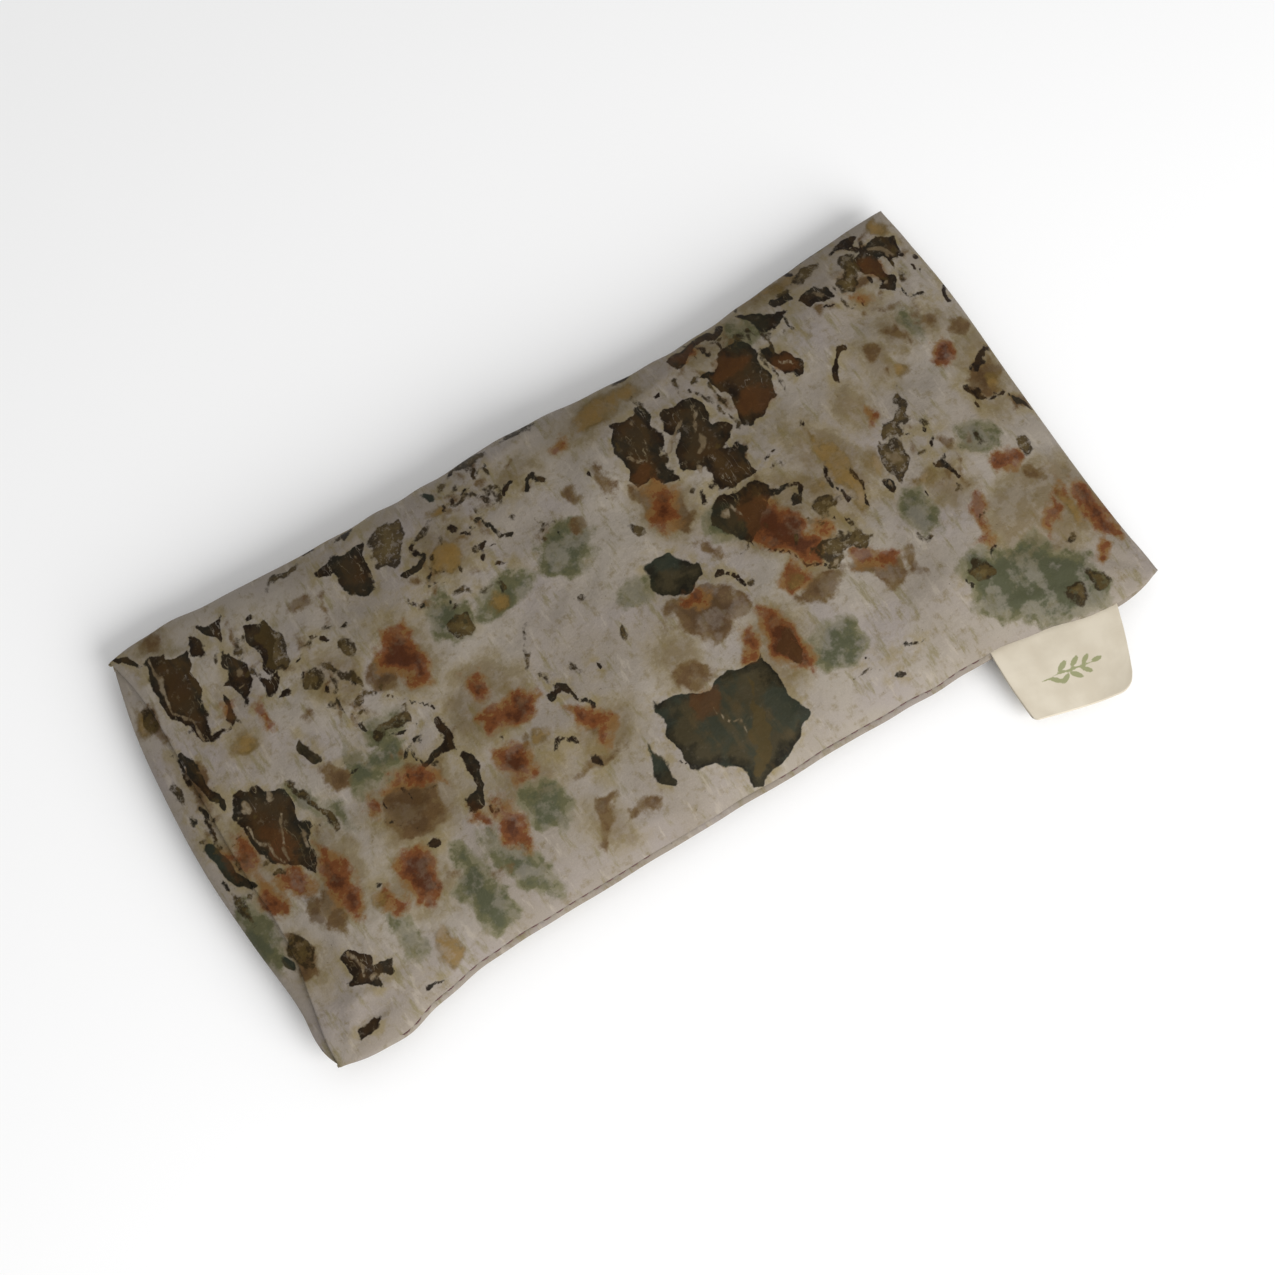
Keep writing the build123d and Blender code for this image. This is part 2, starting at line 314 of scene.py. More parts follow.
OVALS = {
    "warm": [
        (20, 47, 26, 9, 10), (-104, -30, 8, 14), (54, 47, 22, 7, 5), (75, 51, 22, 6), (91, 38, 8, 9),
        (102, 25, 8, 10), (92, 27, 10, 12), (-91, 21, 9, 8), (-49, 20, 14, 22), (-39, 1, 22, 20, 20),
        (-65, -10, 24, 22), (-73, -26, 15, 20), (-88, -15, 14, 24), (-103, -4, 13, 24), (3, -14, 12, 16),
        (21, 19, 14, 20), (24, -24, 16, 24, -30), (45, 2, 34, 22, -25), (60, 8, 14, 30, 20), (96, -28, 34, 24),
        (105, 8, 14, 26, -20), (-29, 36, 18, 14), (-66, 24, 14, 14), (-99, 54, 10, 8), (-20, -20, 18, 14, 20),
        (-31, -39, 10, 14, 30), (72, 16, 10, 14), (-4, 44, 12, 8), (84, 23, 10, 14), (80, -12, 12, 12),
        (-40, -20, 20, 12), (40, -12, 12, 12), (53, 6, 7, 10),
    ],
    "cool": [
        (-52, -36, 8, 22, 20), (-82, -36, 6, 13), (-40, -27, 11, 13), (-36, 22, 10, 13), (-85, 1, 4, 14, 25),
        (4, 4.5, 8, 7), (-22, 20, 16, 8, 10), (62, 46, 12, 6), (30, 8, 10, 10), (-111, -20, 8, 18),
        (97, 27, 5, 10), (-62, 8, 10, 6), (36, -30, 14, 12), (-80, -5, 3, 8, 15), (-4, 22, 16, 12, 20),
        (70, -14, 8, 12),
    ],
    "tan": [
        (-66, -12, 14, 13), (-93, -23, 4.5, 10), (-96, -22, 3, 7), (-77, 3, 5, 8, 25), (-56, 18, 7, 8),
        (-20, -18, 6, 4, 30), (12.5, 31.5, 2, 7), (3.5, 33, 4, 3.4), (1.5, 25, 4, 3), (62, -23, 2.4, 6),
        (57, -24, 6, 5), (107, 20, 5, 4), (101, 25, 4.4, 3.4), (93.5, 42.5, 5, 3), (86, -3, 2.4, 4),
        (81, 41, 3, 2), (-64, 43.5, 5, 2.6), (40, -17, 12, 5, 5), (4, -19, 9, 5, -20), (-25, -25, 10, 2.4),
        (-22, -39, 6, 2.4), (84, 26, 3.4, 4.4), (99, -19, 2.2, 5, 30), (-99.5, 54, 4, 3.4), (24, 4, 2, 5, 20),
    ],
    "rust": [
        (-104, -13, 5, 8), (-97, -13, 6, 8, 20), (-81, -28, 4, 7), (-104, -2, 4, 9), (-74, -7, 3, 4),
        (-88, -21, 3, 4), (-39, 4.4, 6, 6), (-54, -22, 3, 5), (-49, -27, 6, 13), (14, -4, 7, 5),
        (36.5, -12, 6.4, 6), (48.3, -5, 4, 5), (20.5, 19, 7, 13, -20), (8, 45, 3.4, 3), (99, 17, 6.4, 6),
        (74.4, 12, 2, 3.2, -20), (102, -27.5, 2, 5), (101.4, -44, 4, 4), (-108, -1, 2, 5), (-91, 30, 3, 2),
        (54, 30, 9, 7), (53, 40, 9, 6), (65, 34, 5, 5), (3, -26, 7, 7), (20.8, 28, 5, 3.4, 30),
        (26.5, -23, 5, 12, -15), (41, -5, 6, 5), (91, 38, 3.4, 4), (-96, -4, 6, 9), (47, 48.4, 6, 2),
        (98, 44, 4, 5),
    ],
    "ochre": [
        (29.5, 48.5, 5, 4), (20, 47.5, 12, 5, 8), (68.3, 2, 3, 5.4), (-29, 34.5, 7, 7), (-91, 21, 5.5, 4),
        (-25, 46, 4, 3), (-24, 19, 5, 4), (-82.5, -26, 3, 4), (-76, -43, 5, 9, -10), (101.5, -33, 2.4, 10),
        (-111, 38, 4, 6), (88, 18, 3, 3), (76, -7.5, 5, 3), (106, 4, 4, 6, -30), (74, 52.4, 14, 2.4),
        (36.5, -12, 3, 3), (54, 4, 4, 3), (-33, -13, 5, 4), (106, 52, 5, 4),
    ],
    "olive": [
        (-104, -27.2, 5, 8, 15), (-108.4, 37.5, 3.4, 6), (-111.5, 19, 2.4, 6), (-111, -13, 2, 5),
        (-70, 26, 5, 4), (-63.5, 16, 3, 3.4), (-65, 51.5, 8, 2, 5), (-111.5, -11, 2, 5), (-31, 42.5, 5, 2, 20),
        (-18, -3.5, 1.5, 4), (-4, -2, 2, 5), (-18.5, 46, 5, 1.4, 12), (2, 53, 8, 1.6), (-13, 52.5, 10, 2.4),
        (52, 0, 4, 3), (46, -13.4, 5, 3), (83, 51.4, 9, 3, 4), (96, -49, 4, 7, 20), (90, -50, 4, 6),
        (74, -33, 5, 5), (-35, 19, 5, 6), (-59, 28, 3, 5), (101.6, -13, 3, 4), (97, -37, 3, 2),
    ],
    "leaf": [
        (-25, 50, 4, 1.4, -20), (-108.4, -28.5, 3, 4.4),
    ],
    "brown": [
        (-90, 47.5, 3, 6), (-83, -49, 2.4, 1.6), (-53, -18, 4, 4), (-13.7, -6, 1.6, 1.6), (40, -37, 1.6, 1),
        (44, -44, 2.4, 1.6), (34.4, 44, 2.6, 1.8, 30), (-66, -21.5, 3, 2), (10, 34.5, 1.8, 2),
        (110, 29, 1.6, 4), (107, 43, 1.2, 1.2), (109, 41, 1.6, 1.2), (107, 38.5, 1, 1.2), (108.6, 36.6, 1, 1),
        (-57, 53.5, 3, 1), (-47, 53, 5, 0.9), (-62.5, 32.5, 2, 1.6), (30, 51.6, 4, 0.8), (79, 53.4, 2, 0.8),
        (96, 52.8, 8, 2.4), (26.4, -25, 3.6, 9, -10), (-112, -5, 1.6, 3), (59, 18, 1.2, 2, -20),
        (67.6, -4.6, 2.6, 4.4), (-76, 47.5, 2, 1.6),
    ],
    "pale": [
        (-98.5, 8.5, 2.4, 3), (-92.5, 8, 2, 3), (-92.8, -41, 2, 1.4), (-84.3, 36.7, 1, 1.6), (-85, 33.6, 1, 1),
        (31, 10, 2.6, 2), (32.6, 22.6, 1.6, 2), (104, 44.6, 1.2, 1.6), (98, 39, 1.4, 1.6),
        (65.4, 34, 0.9, 3, 30), (73, 1, 1.4, 3), (67.6, -4, 1, 2), (82, 44.6, 1.6, 1), (46, -13.4, 2.4, 1.2),
        (-33, -12, 2.4, 2),
    ],
}
CORNERS = {
    "cool": [
        [(70, -27), (76, -27), (79, -31), (90, -31), (92.4, -38), (98, -42), (98, -53), (94, -56), (82, -54),
         (72, -46), (67, -41), (69.5, -34)],
        [(89, -1), (94, -0.5), (97.5, -3), (98.5, -8), (96, -10.5), (92, -9), (88, -7)],
        [(-63, -22.5), (-61, -24), (-59, -31), (-58, -45.4), (-63, -48), (-66.4, -47), (-67, -38), (-68.8, -34),
         (-65, -29.5)],
        [(-75, 3), (-71.6, 9.4), (-69, 4.6), (-62, 5.4), (-59.7, 3), (-62.4, -1.7), (-69, -3.3), (-75, -3.3)],
    ],
    "tan": [
        [(6.5, -2.5), (12, -1.5), (20, -3), (22, -6), (25, -9), (24, -13), (20, -13), (18, -15), (13, -16),
         (10, -13), (8, -8)],
        [(16, 26), (22, 24), (26, 17), (23, 11), (19, 13), (17, 18)],
        [(-110, 40.5), (-106, 40.5), (-106, 36), (-108, 31), (-110, 36)],
        [(-107.5, 21), (-104.5, 24.5), (-102, 20), (-103, 17), (-106, 13), (-107, 11)],
        [(-105.5, -22), (-102, -26), (-101, -30), (-104, -34), (-107, -33), (-106, -27)],
        [(-30, -31.6), (-25.6, -32.4), (-27, -36), (-30, -38), (-35, -43.8), (-35.9, -42), (-32, -38)],
        [(88.8, 28.8), (93.6, 28), (94, 22), (92, 24.5)],
        [(98, 7), (103, 10), (108, 10), (110, 6), (104, 1), (100, 2)],
        [(105, -1), (109.5, -2), (110, -7), (107, -5)],
        [(48, -16), (56, -18), (60, -22), (55, -26), (52, -20)],
    ],
    "rust": [
        [(-89, -7), (-86, -12), (-85, -18), (-86, -24), (-89, -28), (-92, -22), (-91, -14)],
        [(-77, -21), (-73, -19), (-68.5, -21), (-67.5, -26), (-70, -31), (-73, -33.5), (-77, -31), (-76, -26)],
        [(-55, 23), (-50.6, 27.6), (-45.8, 26.8), (-45, 16.5), (-47, 11), (-51, 12.5), (-52.5, 16.5), (-55.3, 19)],
        [(-43.4, -2.5), (-38.7, -1.4), (-30, -1.8), (-27.5, -4), (-30.7, -7.7), (-38.7, -7), (-42, -5.7)],
        [(-44.5, -10), (-40, -10.5), (-36, -15), (-38, -19), (-43, -19.5), (-45, -15)],
        [(-25, -9.7), (-22, -11.3), (-17, -16.8), (-17, -19), (-20.4, -22.8), (-22.8, -22), (-20, -18.4),
         (-24.4, -16)],
        [(-70, -5), (-64, -2.5), (-58, -5), (-56.5, -11), (-59, -9), (-64, -7)],
        [(45.5, -1), (45, -4), (48, -8), (43, -11), (39, -8), (36, -4), (34, 1), (34, 8), (39, 10), (43, 6)],
        [(50, -13), (55, -15), (60, -18), (60.5, -20), (55, -21), (50, -17)],
        [(91.6, -13.3), (93, -11.3), (96.3, -11.3), (99.5, -13), (98.7, -15), (95, -16.7), (92, -15)],
        [(84.8, -16), (85.6, -18.4), (83, -21.6), (81, -26), (79, -30), (77.3, -27), (79.7, -25), (80.5, -20)],
        [(98.7, -26.7), (99.5, -29.5), (97, -32.7), (92.8, -34.7), (93.6, -30), (96.3, -27.5)],
        [(104, -27), (106, -25), (108, -28), (109, -35), (109, -43.8), (106.7, -43), (103.5, -41), (103, -36)],
        [(18, -17), (21, -16), (20.5, -20), (18, -23), (15.7, -22.4)],
        [(23, -19), (25, -13.7), (27.6, -15), (29.6, -21.6), (30, -31), (27.6, -33.5), (24.4, -28), (22, -25.6)],
        [(89, 41), (91.6, 39.5), (93.6, 37), (91.6, 35.4), (89.6, 38)],
        [(-83.4, 28), (-82.4, 24), (-83.6, 20.5), (-85, 22), (-85, 27)],
    ],
    "ochre": [
        [(59, 16.5), (60, 14), (62.2, 10), (63.4, 5.4), (62.6, 0.6), (61.8, -5.7), (58.7, -7.3), (58.3, 4),
         (58.7, 9.4)],
    ],
    "olive": [
        [(83.7, 15.7), (83, 13.3), (84.8, 11), (82, 7.8), (79, 5.8), (77.3, 3.4), (74, 5.8), (76.5, 8.6),
         (79.7, 9.4), (82.5, 12.5)],
        [(72.5, 5.4), (75.7, 3.4), (76, -1), (73.3, -3.3), (71, -5.7), (70, 0.6), (70.6, 4)],
        [(10.6, 18.5), (11.7, 19), (14.5, 15.7), (14, 14.5), (11, 15.7)],
        [(43, -8.5), (50, -8), (56, -9.5), (57, -12), (55, -15), (50, -12), (45, -11.5)],
        [(-43, 49.4), (-34.7, 49.8), (-34.3, 46), (-36.3, 42.7), (-40, 39.5), (-43.8, 40), (-43, 44)],
        [(-74, 44.5), (-71.7, 40), (-72, 34), (-75, 31.5), (-77, 34), (-76, 42)],
        [(88, 42.7), (90, 46), (93, 49), (96.3, 49.4), (95.6, 45), (94, 44.3), (90.8, 41)],
    ],
    "leaf": [
        [(-7.3, -20), (0, -21.2), (6, -23.5), (11, -22), (15, -24), (19, -22.5), (20, -30), (21.4, -40.6),
         (14, -45.8), (4, -49.6), (0.8, -48), (1.8, -43.5), (-4.5, -39), (-8, -36.7), (-8.5, -29.5)],
        [(8.7, 8.6), (11.7, 9), (15.7, 7.4), (17.7, 4.6), (19.5, 3.8), (19, 0.6), (15, -1.3), (10, -1), (7.4, 1.4),
         (7.8, 5.4)],
        [(-81.5, 14), (-80, 16), (-78, 13.5), (-78.5, 12), (-77.5, 8), (-79, 8), (-81.5, 12)],
        [(-112.5, 5.5), (-109.8, 5.5), (-107, -5), (-106.3, -9.5), (-108, -10), (-110.5, -4.5), (-112.5, 1)],
        [(-13.6, -27.5), (-12.7, -30), (-13, -37.5), (-14.4, -38.3), (-16, -36), (-14, -30.7)],
    ],
    "brown": [
        [(-103.3, 51), (-97, 51), (-96.6, 48.7), (-92.8, 48.7), (-92.2, 45), (-93.8, 40), (-94.8, 31.6), (-97, 26),
         (-99, 27), (-103, 35), (-104, 46)],
        [(-88, 52), (-82, 51.5), (-84, 47), (-86, 43.5), (-86.5, 49)],
        [(-86, 41.5), (-83.5, 41.5), (-82, 37), (-82.5, 33), (-85, 30), (-86, 28), (-86.5, 34), (-88, 36)],
        [(-78.5, 45.5), (-73.5, 44.5), (-73, 40), (-75, 37), (-75, 31), (-77.5, 32.5), (-78.5, 38)],
        [(-82, 27.5), (-80.5, 34), (-77.5, 30), (-79, 28)],
        [(-100, 11), (-97.4, 11.7), (-91, 8.6), (-88.7, 7.8), (-89, -5), (-90.6, -7.3), (-91.4, -13.3),
         (-95, -10.5), (-99.8, -5.7), (-101.7, -1), (-102, 5.4)],
        [(-97, -32.7), (-94.2, -32.3), (-91.4, -35), (-91.8, -38), (-87.5, -39), (-88.3, -41.8), (-91.8, -41.4),
         (-94.2, -43.4), (-95.4, -41), (-98.6, -39.8), (-97, -37.5)],
        [(-103.3, -50.2), (-101, -49), (-96.5, -49), (-99, -51), (-103, -52)],
        [(-56.5, 49), (-50, 49.8), (-43.8, 49), (-45, 42.7), (-48.6, 36), (-53.3, 40.3), (-54, 45), (-57, 46)],
        [(-40.6, 36.7), (-33, 39.5), (-32.7, 38.3), (-39, 34.4)],
        [(21.3, 43.3), (26, 41), (29.4, 43.3), (30.6, 39.5), (29.6, 35), (27.6, 30), (27, 22), (23.7, 24),
         (16.7, 26.8), (18.3, 32.4), (19.7, 38)],
        [(30, 35), (33, 38), (39.5, 39.5), (42, 37), (42.5, 31), (45.5, 27), (41, 24), (44.5, 22.5), (42.5, 19.5),
         (44, 15), (38, 14), (33, 16), (34, 22), (29, 24), (30, 29), (35, 32)],
        [(29, 12), (33, 14), (38, 12), (44, 12), (45, 9.5), (41, 7), (37, 3), (33, 1), (30, 5), (28, 9)],
        [(44.7, 42.7), (47.5, 41.5), (52, 43.3), (58.6, 46), (60.2, 43.5), (60.6, 38), (58.6, 28), (49, 24.4),
         (47.5, 26), (49.4, 31), (48.7, 36)],
        [(61, 40.3), (63.3, 38.7), (67.3, 36.3), (69.3, 32.4), (67.3, 29), (64.5, 29), (63.3, 32.4)],
        [(41.5, 49.7), (43, 46), (46, 48), (52, 48.5), (58, 49), (58, 50.5), (50, 50.2)],
        [(62.5, 50), (65.7, 49), (70, 46), (74, 44.7), (67, 43), (65, 47)],
        [(70.7, 50), (77.3, 49), (75.7, 46.3), (71.7, 48)],
        [(77.3, 46), (80.5, 46.7), (83.7, 46.3), (85.6, 43.5), (79, 42.7)],
        [(96.3, 48.3), (99.5, 49.8), (100.3, 46), (99.5, 41), (101.5, 38.7), (98.7, 35.6), (96.3, 38), (97.5, 41),
         (95, 45.5)],
        [(100.3, 49.4), (103.5, 50.6), (108, 47.5), (106.7, 43.5), (103.5, 42.3), (102.7, 45), (100.3, 45.5)],
        [(-109.5, 55.5), (-104, 50), (-105, 52), (-106, 55)],
    ],
}
STROKES = {
    "brown": [
        ([(-105.6, 26), (-104.4, 19), (-103, 12)], 1.1), ([(-97, 26), (-91.5, 27), (-89.5, 33)], 0.5),
        ([(-50, 2.5), (-50.3, -1), (-52.2, -3.4), (-57.8, -5)], 0.9),
        ([(-49.6, -6.5), (-49, -11.3), (-50.3, -15.3), (-54, -19)], 1.1),
        ([(-26, -6), (-23.6, -4.5), (-22, -7.3), (-19, -13)], 0.8),
        ([(-4.5, 38.7), (-1.7, 41), (0.2, 38.7)], 0.6), ([(-16.6, 37.5), (-14.8, 32.4), (-13, 31)], 0.5),
        ([(-8.5, 40.3), (-7.5, 43.3)], 0.6), ([(-32.7, -17.5), (-30, -16.5), (-26.5, -17.5)], 0.5),
        ([(79.7, 30), (77, 29.6), (75.5, 28), (75, 26), (73, 23.7)], 0.7),
        ([(43, 8), (47, 7.4), (49.6, 6), (49, 3), (46.6, 4)], 0.6), ([(58, 7.5), (57, 3), (57.2, -3)], 0.45),
        ([(62.6, 3), (61.6, -6)], 0.5), ([(22, -1), (26, -6)], 0.85), ([(80.4, -6.5), (84, -10)], 0.5),
        ([(-108.4, 13.5), (-108.4, 6)], 0.7), ([(-107.6, 28), (-107, 20)], 0.5),
        ([(98, 7), (100, 2), (105, 0), (109.6, -7)], 0.5), ([(102.6, 9), (106, 11), (109.6, 11.6)], 0.6),
        ([(-22.5, 30.5), (-19, 34.5)], 0.5), ([(-57, 12.5), (-50, 6)], 0.3),
        ([(36, -4), (39, -8), (43.6, -12)], 0.5),
    ],
    "olive": [
        ([(-66, 28), (-61, 20)], 0.7), ([(-63.5, 7), (-60, 8), (-55.5, 6.5)], 0.8),
        ([(-28, 1.4), (-25, 6), (-22, 11.7)], 0.4), ([(-16, 46.3), (-14.4, 40.7)], 0.4),
        ([(-87, 8), (-84, 0), (-82.6, -7)], 0.7), ([(64, 38), (66, 44)], 0.5),
        ([(12, -33), (10, -39), (5, -46)], 1.5), ([(43, 40), (45, 34), (47.6, 27)], 0.4),
        ([(46, 40), (47.4, 33)], 0.35), ([(61.4, 38), (61.6, 29)], 0.4),
    ],
    "pale": [
        ([(-102, 50.6), (-101.6, 36.3), (-98.2, 26.8)], 0.3), ([(-101, 4), (-97, -8)], 0.25),
        ([(-92.5, 2), (-96, -8)], 0.25), ([(-90, -3), (-91, -10)], 0.25), ([(28, 29), (31, 32), (36, 34)], 0.5),
        ([(20, 34), (24, 29)], 0.4), ([(26, 40), (25.4, 33)], 0.25), ([(3, -28), (6, -33), (8, -38)], 0.2),
        ([(-94.6, -33), (-94, -39)], 0.25), ([(33, 12), (36, 5)], 0.3), ([(-47, 47), (-46.6, 40)], 0.2),
        ([(101.4, 48.6), (105.6, 44)], 0.3), ([(37, 30), (39.6, 36)], 0.3), ([(35, 26), (38, 29)], 0.3),
    ],
}
# Zones of small scattered flecks, as (x, y, width, height, number), and the span of the draw that each colour takes
LITTER = [
    (-18, 42, 34, 20, 46), (-66, 24, 22, 30, 30), (-30, 28, 24, 18, 24), (-84, 34, 18, 28, 12),
    (96, 40, 26, 26, 34), (52, -4, 14, 14, 16), (40, 14, 26, 30, 18), (-62, 0, 30, 26, 18),
    (84, -4, 26, 22, 14), (-98, -2, 24, 40, 16), (0, 0, 210, 104, 60), (60, 46, 44, 12, 22),
    (-108, 5, 8, 44, 16),
]
LITTER_SPANS = {"tan": (0.0, 0.35), "olive": (0.35, 0.75), "brown": (0.75, 1.0)}
COLOURS = ["warm", "cool", "tan", "rust", "ochre", "olive", "leaf", "brown", "pale"]
FIELD_DEPTH = 7.0  # a field is cut off this far inside and outside a mark's edge


def litter_ovals(colour):
    """Small scattered flecks of one colour, the same at each run."""
    if colour not in LITTER_SPANS:
        return []
    start, end = LITTER_SPANS[colour]
    rng = np.random.default_rng(808)
    made = []
    for cx, cy, wide, tall, number in LITTER:
        for _ in range(number):
            away, turn, draw = rng.uniform(0, 0.5) ** 0.6 * 0.76, rng.uniform(0, 2 * np.pi), rng.uniform()
            long, slim, lean = rng.uniform(0.9, 3.4), rng.uniform(0.5, 1.3), rng.uniform(0, 180)
            if start <= draw < end:
                x, y = cx + wide * away * math.cos(turn), cy + tall * away * math.sin(turn)
                made.append((x, y, long, slim, lean))
    return made


def inside_corners(x, y, corners):
    """Depth inside a shape given by its corners."""
    d, _ = distance_to_line(x, y, corners + corners[:1])
    inside = np.zeros(np.shape(x), bool)
    for (ax, ay), (bx, by) in zip(corners, corners[1:] + corners[:1]):
        crosses = (ay > y) != (by > y)
        reach = ax + (y - ay) * (bx - ax) / (by - ay if by != ay else 1e-9)
        inside ^= crosses & (x < reach)
    return np.where(inside, d, -d)


def wander(x, y):
    """The places that marks are read at, pushed about so that no mark keeps a drawn outline."""
    moved_x = x + 0.45 * ripple(x, y, 10, 101) + 0.25 * ripple(x, y, 4.2, 103) + 0.12 * ripple(x, y, 2.2, 107)
    moved_y = y + 0.45 * ripple(x, y, 10, 102) + 0.25 * ripple(x, y, 4.2, 104) + 0.12 * ripple(x, y, 2.2, 108)
    return moved_x, moved_y


def print_fields(x, y):
    """The depth inside the nearest mark of each colour, at each place on the flat print."""
    x, y = wander(x, y)
    fields = {}
    for colour in COLOURS:
        depth = np.full(np.shape(x), -FIELD_DEPTH)
        for cx, cy, wide, tall, *turn in OVALS.get(colour, []) + litter_ovals(colour):
            angle = math.radians(turn[0] if turn else 0)
            c, s = math.cos(angle), math.sin(angle)
            u = ((x - cx) * c + (y - cy) * s) / (wide / 2)
            v = ((y - cy) * c - (x - cx) * s) / (tall / 2)
            depth = np.maximum(depth, (1 - np.hypot(u, v)) * min(wide, tall) / 2)
        for corners in CORNERS.get(colour, []):
            depth = np.maximum(depth, inside_corners(x, y, corners))
        for points, half in STROKES.get(colour, []):
            depth = np.maximum(depth, half - distance_to_line(x, y, points)[0])
        fields[colour] = np.minimum(depth, FIELD_DEPTH)
    return fields


LEAN = (0.18, 0.29)  # the marks' places were read on the seam plane: this moves them up the crown with height


def cloth_fields(places, flip=1.0, move=(0.0, 0.0)):
    """The print's fields for a grid of places on the filled cover, and the flat place for the weave."""
    height = places[..., 2] - SEAM_Z
    x = places[..., 0] + LEAN[0] * height + move[0]
    y = flip * places[..., 1] + LEAN[1] * height + move[1]
    fields = print_fields(x, y)
    fields["flat"] = np.stack([x, y, np.zeros_like(x)], axis=-1)
    return fields


# Materials ------------------------------------------------------------------------------------------------------


def linear(red, green, blue):
    """A screen colour of 0 to 255 as Blender's linear RGBA."""
    screen = [c / 255 for c in (red, green, blue)]
    return tuple(c / 12.92 if c <= 0.04045 else ((c + 0.055) / 1.055) ** 2.4 for c in screen) + (1.0,)


class Nodes:
    """A short way to write a material's nodes."""

    def __init__(self, name):
        self.material = bpy.data.materials.new(name)
        self.material.use_nodes = True
        self.tree = self.material.node_tree
        self.shader = self.tree.nodes["Principled BSDF"]

    def add(self, kind, settings=(), **inputs):
        node = self.tree.nodes.new(kind)
        for key, value in dict(settings).items():
            setattr(node, key, value)
        for key, value in inputs.items():
            socket = node.inputs[int(key[1:])] if key[0] == "i" and key[1:].isdigit() else node.inputs[key]
            self.put(socket, value)
        return node

    def put(self, socket, value):
        if isinstance(value, bpy.types.NodeSocket):
            self.tree.links.new(value, socket)
        else:
            socket.default_value = value

    def field(self, name):
        return self.add("ShaderNodeAttribute", {"attribute_name": name}).outputs["Fac"]

    def place(self, name="flat"):
        return self.add("ShaderNodeAttribute", {"attribute_name": name}).outputs["Vector"]

    def maths(self, operation, a, b=0.0):
        return self.add("ShaderNodeMath", {"operation": operation}, i0=a, i1=b).outputs[0]

    def times(self, a, b):
        return self.maths("MULTIPLY", a, b)

    def centred(self, noise):
        """Noise from 0 to 1, moved to run from -0.5 to 0.5."""
        return self.maths("SUBTRACT", noise, 0.5)

    def places(self, operation, *values):
        """Vector maths on places."""
        inputs = {f"i{k}": value for k, value in enumerate(values)}
        return self.add("ShaderNodeVectorMath", {"operation": operation}, **inputs).outputs[0]

    def noise(self, vector, scale, detail=3.0, rough=0.55, seed=0.0):
        """Noise from 0 to 1. The seed moves the place that it's read at."""
        if seed:
            vector = self.places("ADD", vector, (seed, seed, seed))
        made = self.add("ShaderNodeTexNoise", Vector=vector, Scale=scale, Detail=detail, Roughness=rough)
        return made.outputs["Fac"]

    def swirl(self, vector, scale, reach):
        """The place, pushed about by smooth noise, so that what is drawn there isn't regular."""
        push = self.add("ShaderNodeTexNoise", Vector=vector, Scale=scale, Detail=2.0).outputs["Color"]
        push = self.places("SUBTRACT", push, (0.5, 0.5, 0.5))
        return self.places("MULTIPLY_ADD", push, (reach, reach, reach), vector)

    def step(self, value, low, high, to_low=0.0, to_high=1.0):
        made = self.add("ShaderNodeMapRange", {"interpolation_type": "SMOOTHSTEP"}, i0=value, i1=low, i2=high,
                        i3=to_low, i4=to_high)
        return made.outputs[0]

    def mix(self, share, a, b, blend="MIX"):
        node = self.tree.nodes.new("ShaderNodeMix")
        node.data_type = "RGBA"
        node.blend_type = blend
        self.put(node.inputs[0], share)
        self.put(node.inputs[6], a)
        self.put(node.inputs[7], b)
        return node.outputs[2]

    def bump(self, height, distance, strength=1.0, normal=None):
        node = self.add("ShaderNodeBump", Strength=strength, Distance=distance, Height=height)
        if normal is not None:
            self.put(node.inputs["Normal"], normal)
        return node.outputs["Normal"]

    def finish(self, **sockets):
        for key, value in sockets.items():
            self.put(self.shader.inputs[key.replace("_", " ")], value)
        return self.material


CLOTH_LIGHT = 1.2  # light that reaches the middle of the cover, so that tones can be given as they look there


def seen(red, green, blue):
    """The base colour that looks like a screen colour of 0 to 255 in this scene's light."""
    return tuple(share / CLOTH_LIGHT for share in linear(red, green, blue)[:3]) + (1.0,)


# Of each colour: the tones of its rim, body and heart, the raggedness of its edge in millimetres, the edge's
# softness, the share of it that is broken up, and how strongly it covers
PRINT_TONES = {
    "warm": (seen(128, 114, 84), seen(114, 99, 64), seen(104, 86, 48), 2.0, 2.4, 0.35, 0.7),
    "cool": (seen(108, 103, 78), seen(86, 84, 56), seen(70, 72, 50), 1.3, 0.8, 0.4, 0.95),
    "tan": (seen(96, 76, 46), seen(86, 64, 37), seen(72, 51, 27), 1.2, 0.7, 0.25, 0.94),
    "rust": (seen(116, 84, 46), seen(102, 58, 27), seen(70, 34, 13), 1.5, 1.0, 0.22, 0.96),
    "ochre": (seen(100, 80, 40), seen(118, 94, 50), seen(126, 98, 50), 1.1, 0.9, 0.35, 0.88),
    "olive": (seen(42, 32, 14), seen(68, 54, 26), seen(88, 73, 40), 0.8, 0.3, 0.4, 0.94),
    "leaf": (seen(24, 21, 11), seen(38, 34, 20), seen(58, 51, 33), 0.35, 0.22, 0.06, 0.985),
    "brown": (seen(27, 17, 7), seen(40, 27, 12), seen(58, 40, 18), 0.65, 0.2, 0.16, 0.985),
    "pale": (seen(112, 96, 72), seen(134, 120, 98), seen(142, 128, 108), 0.5, 0.25, 0.2, 0.8),
}


# The cloth's finest noise, as (scale, detail, roughness, seed)
GRAIN = (2.6, 3, 0.7, 80)
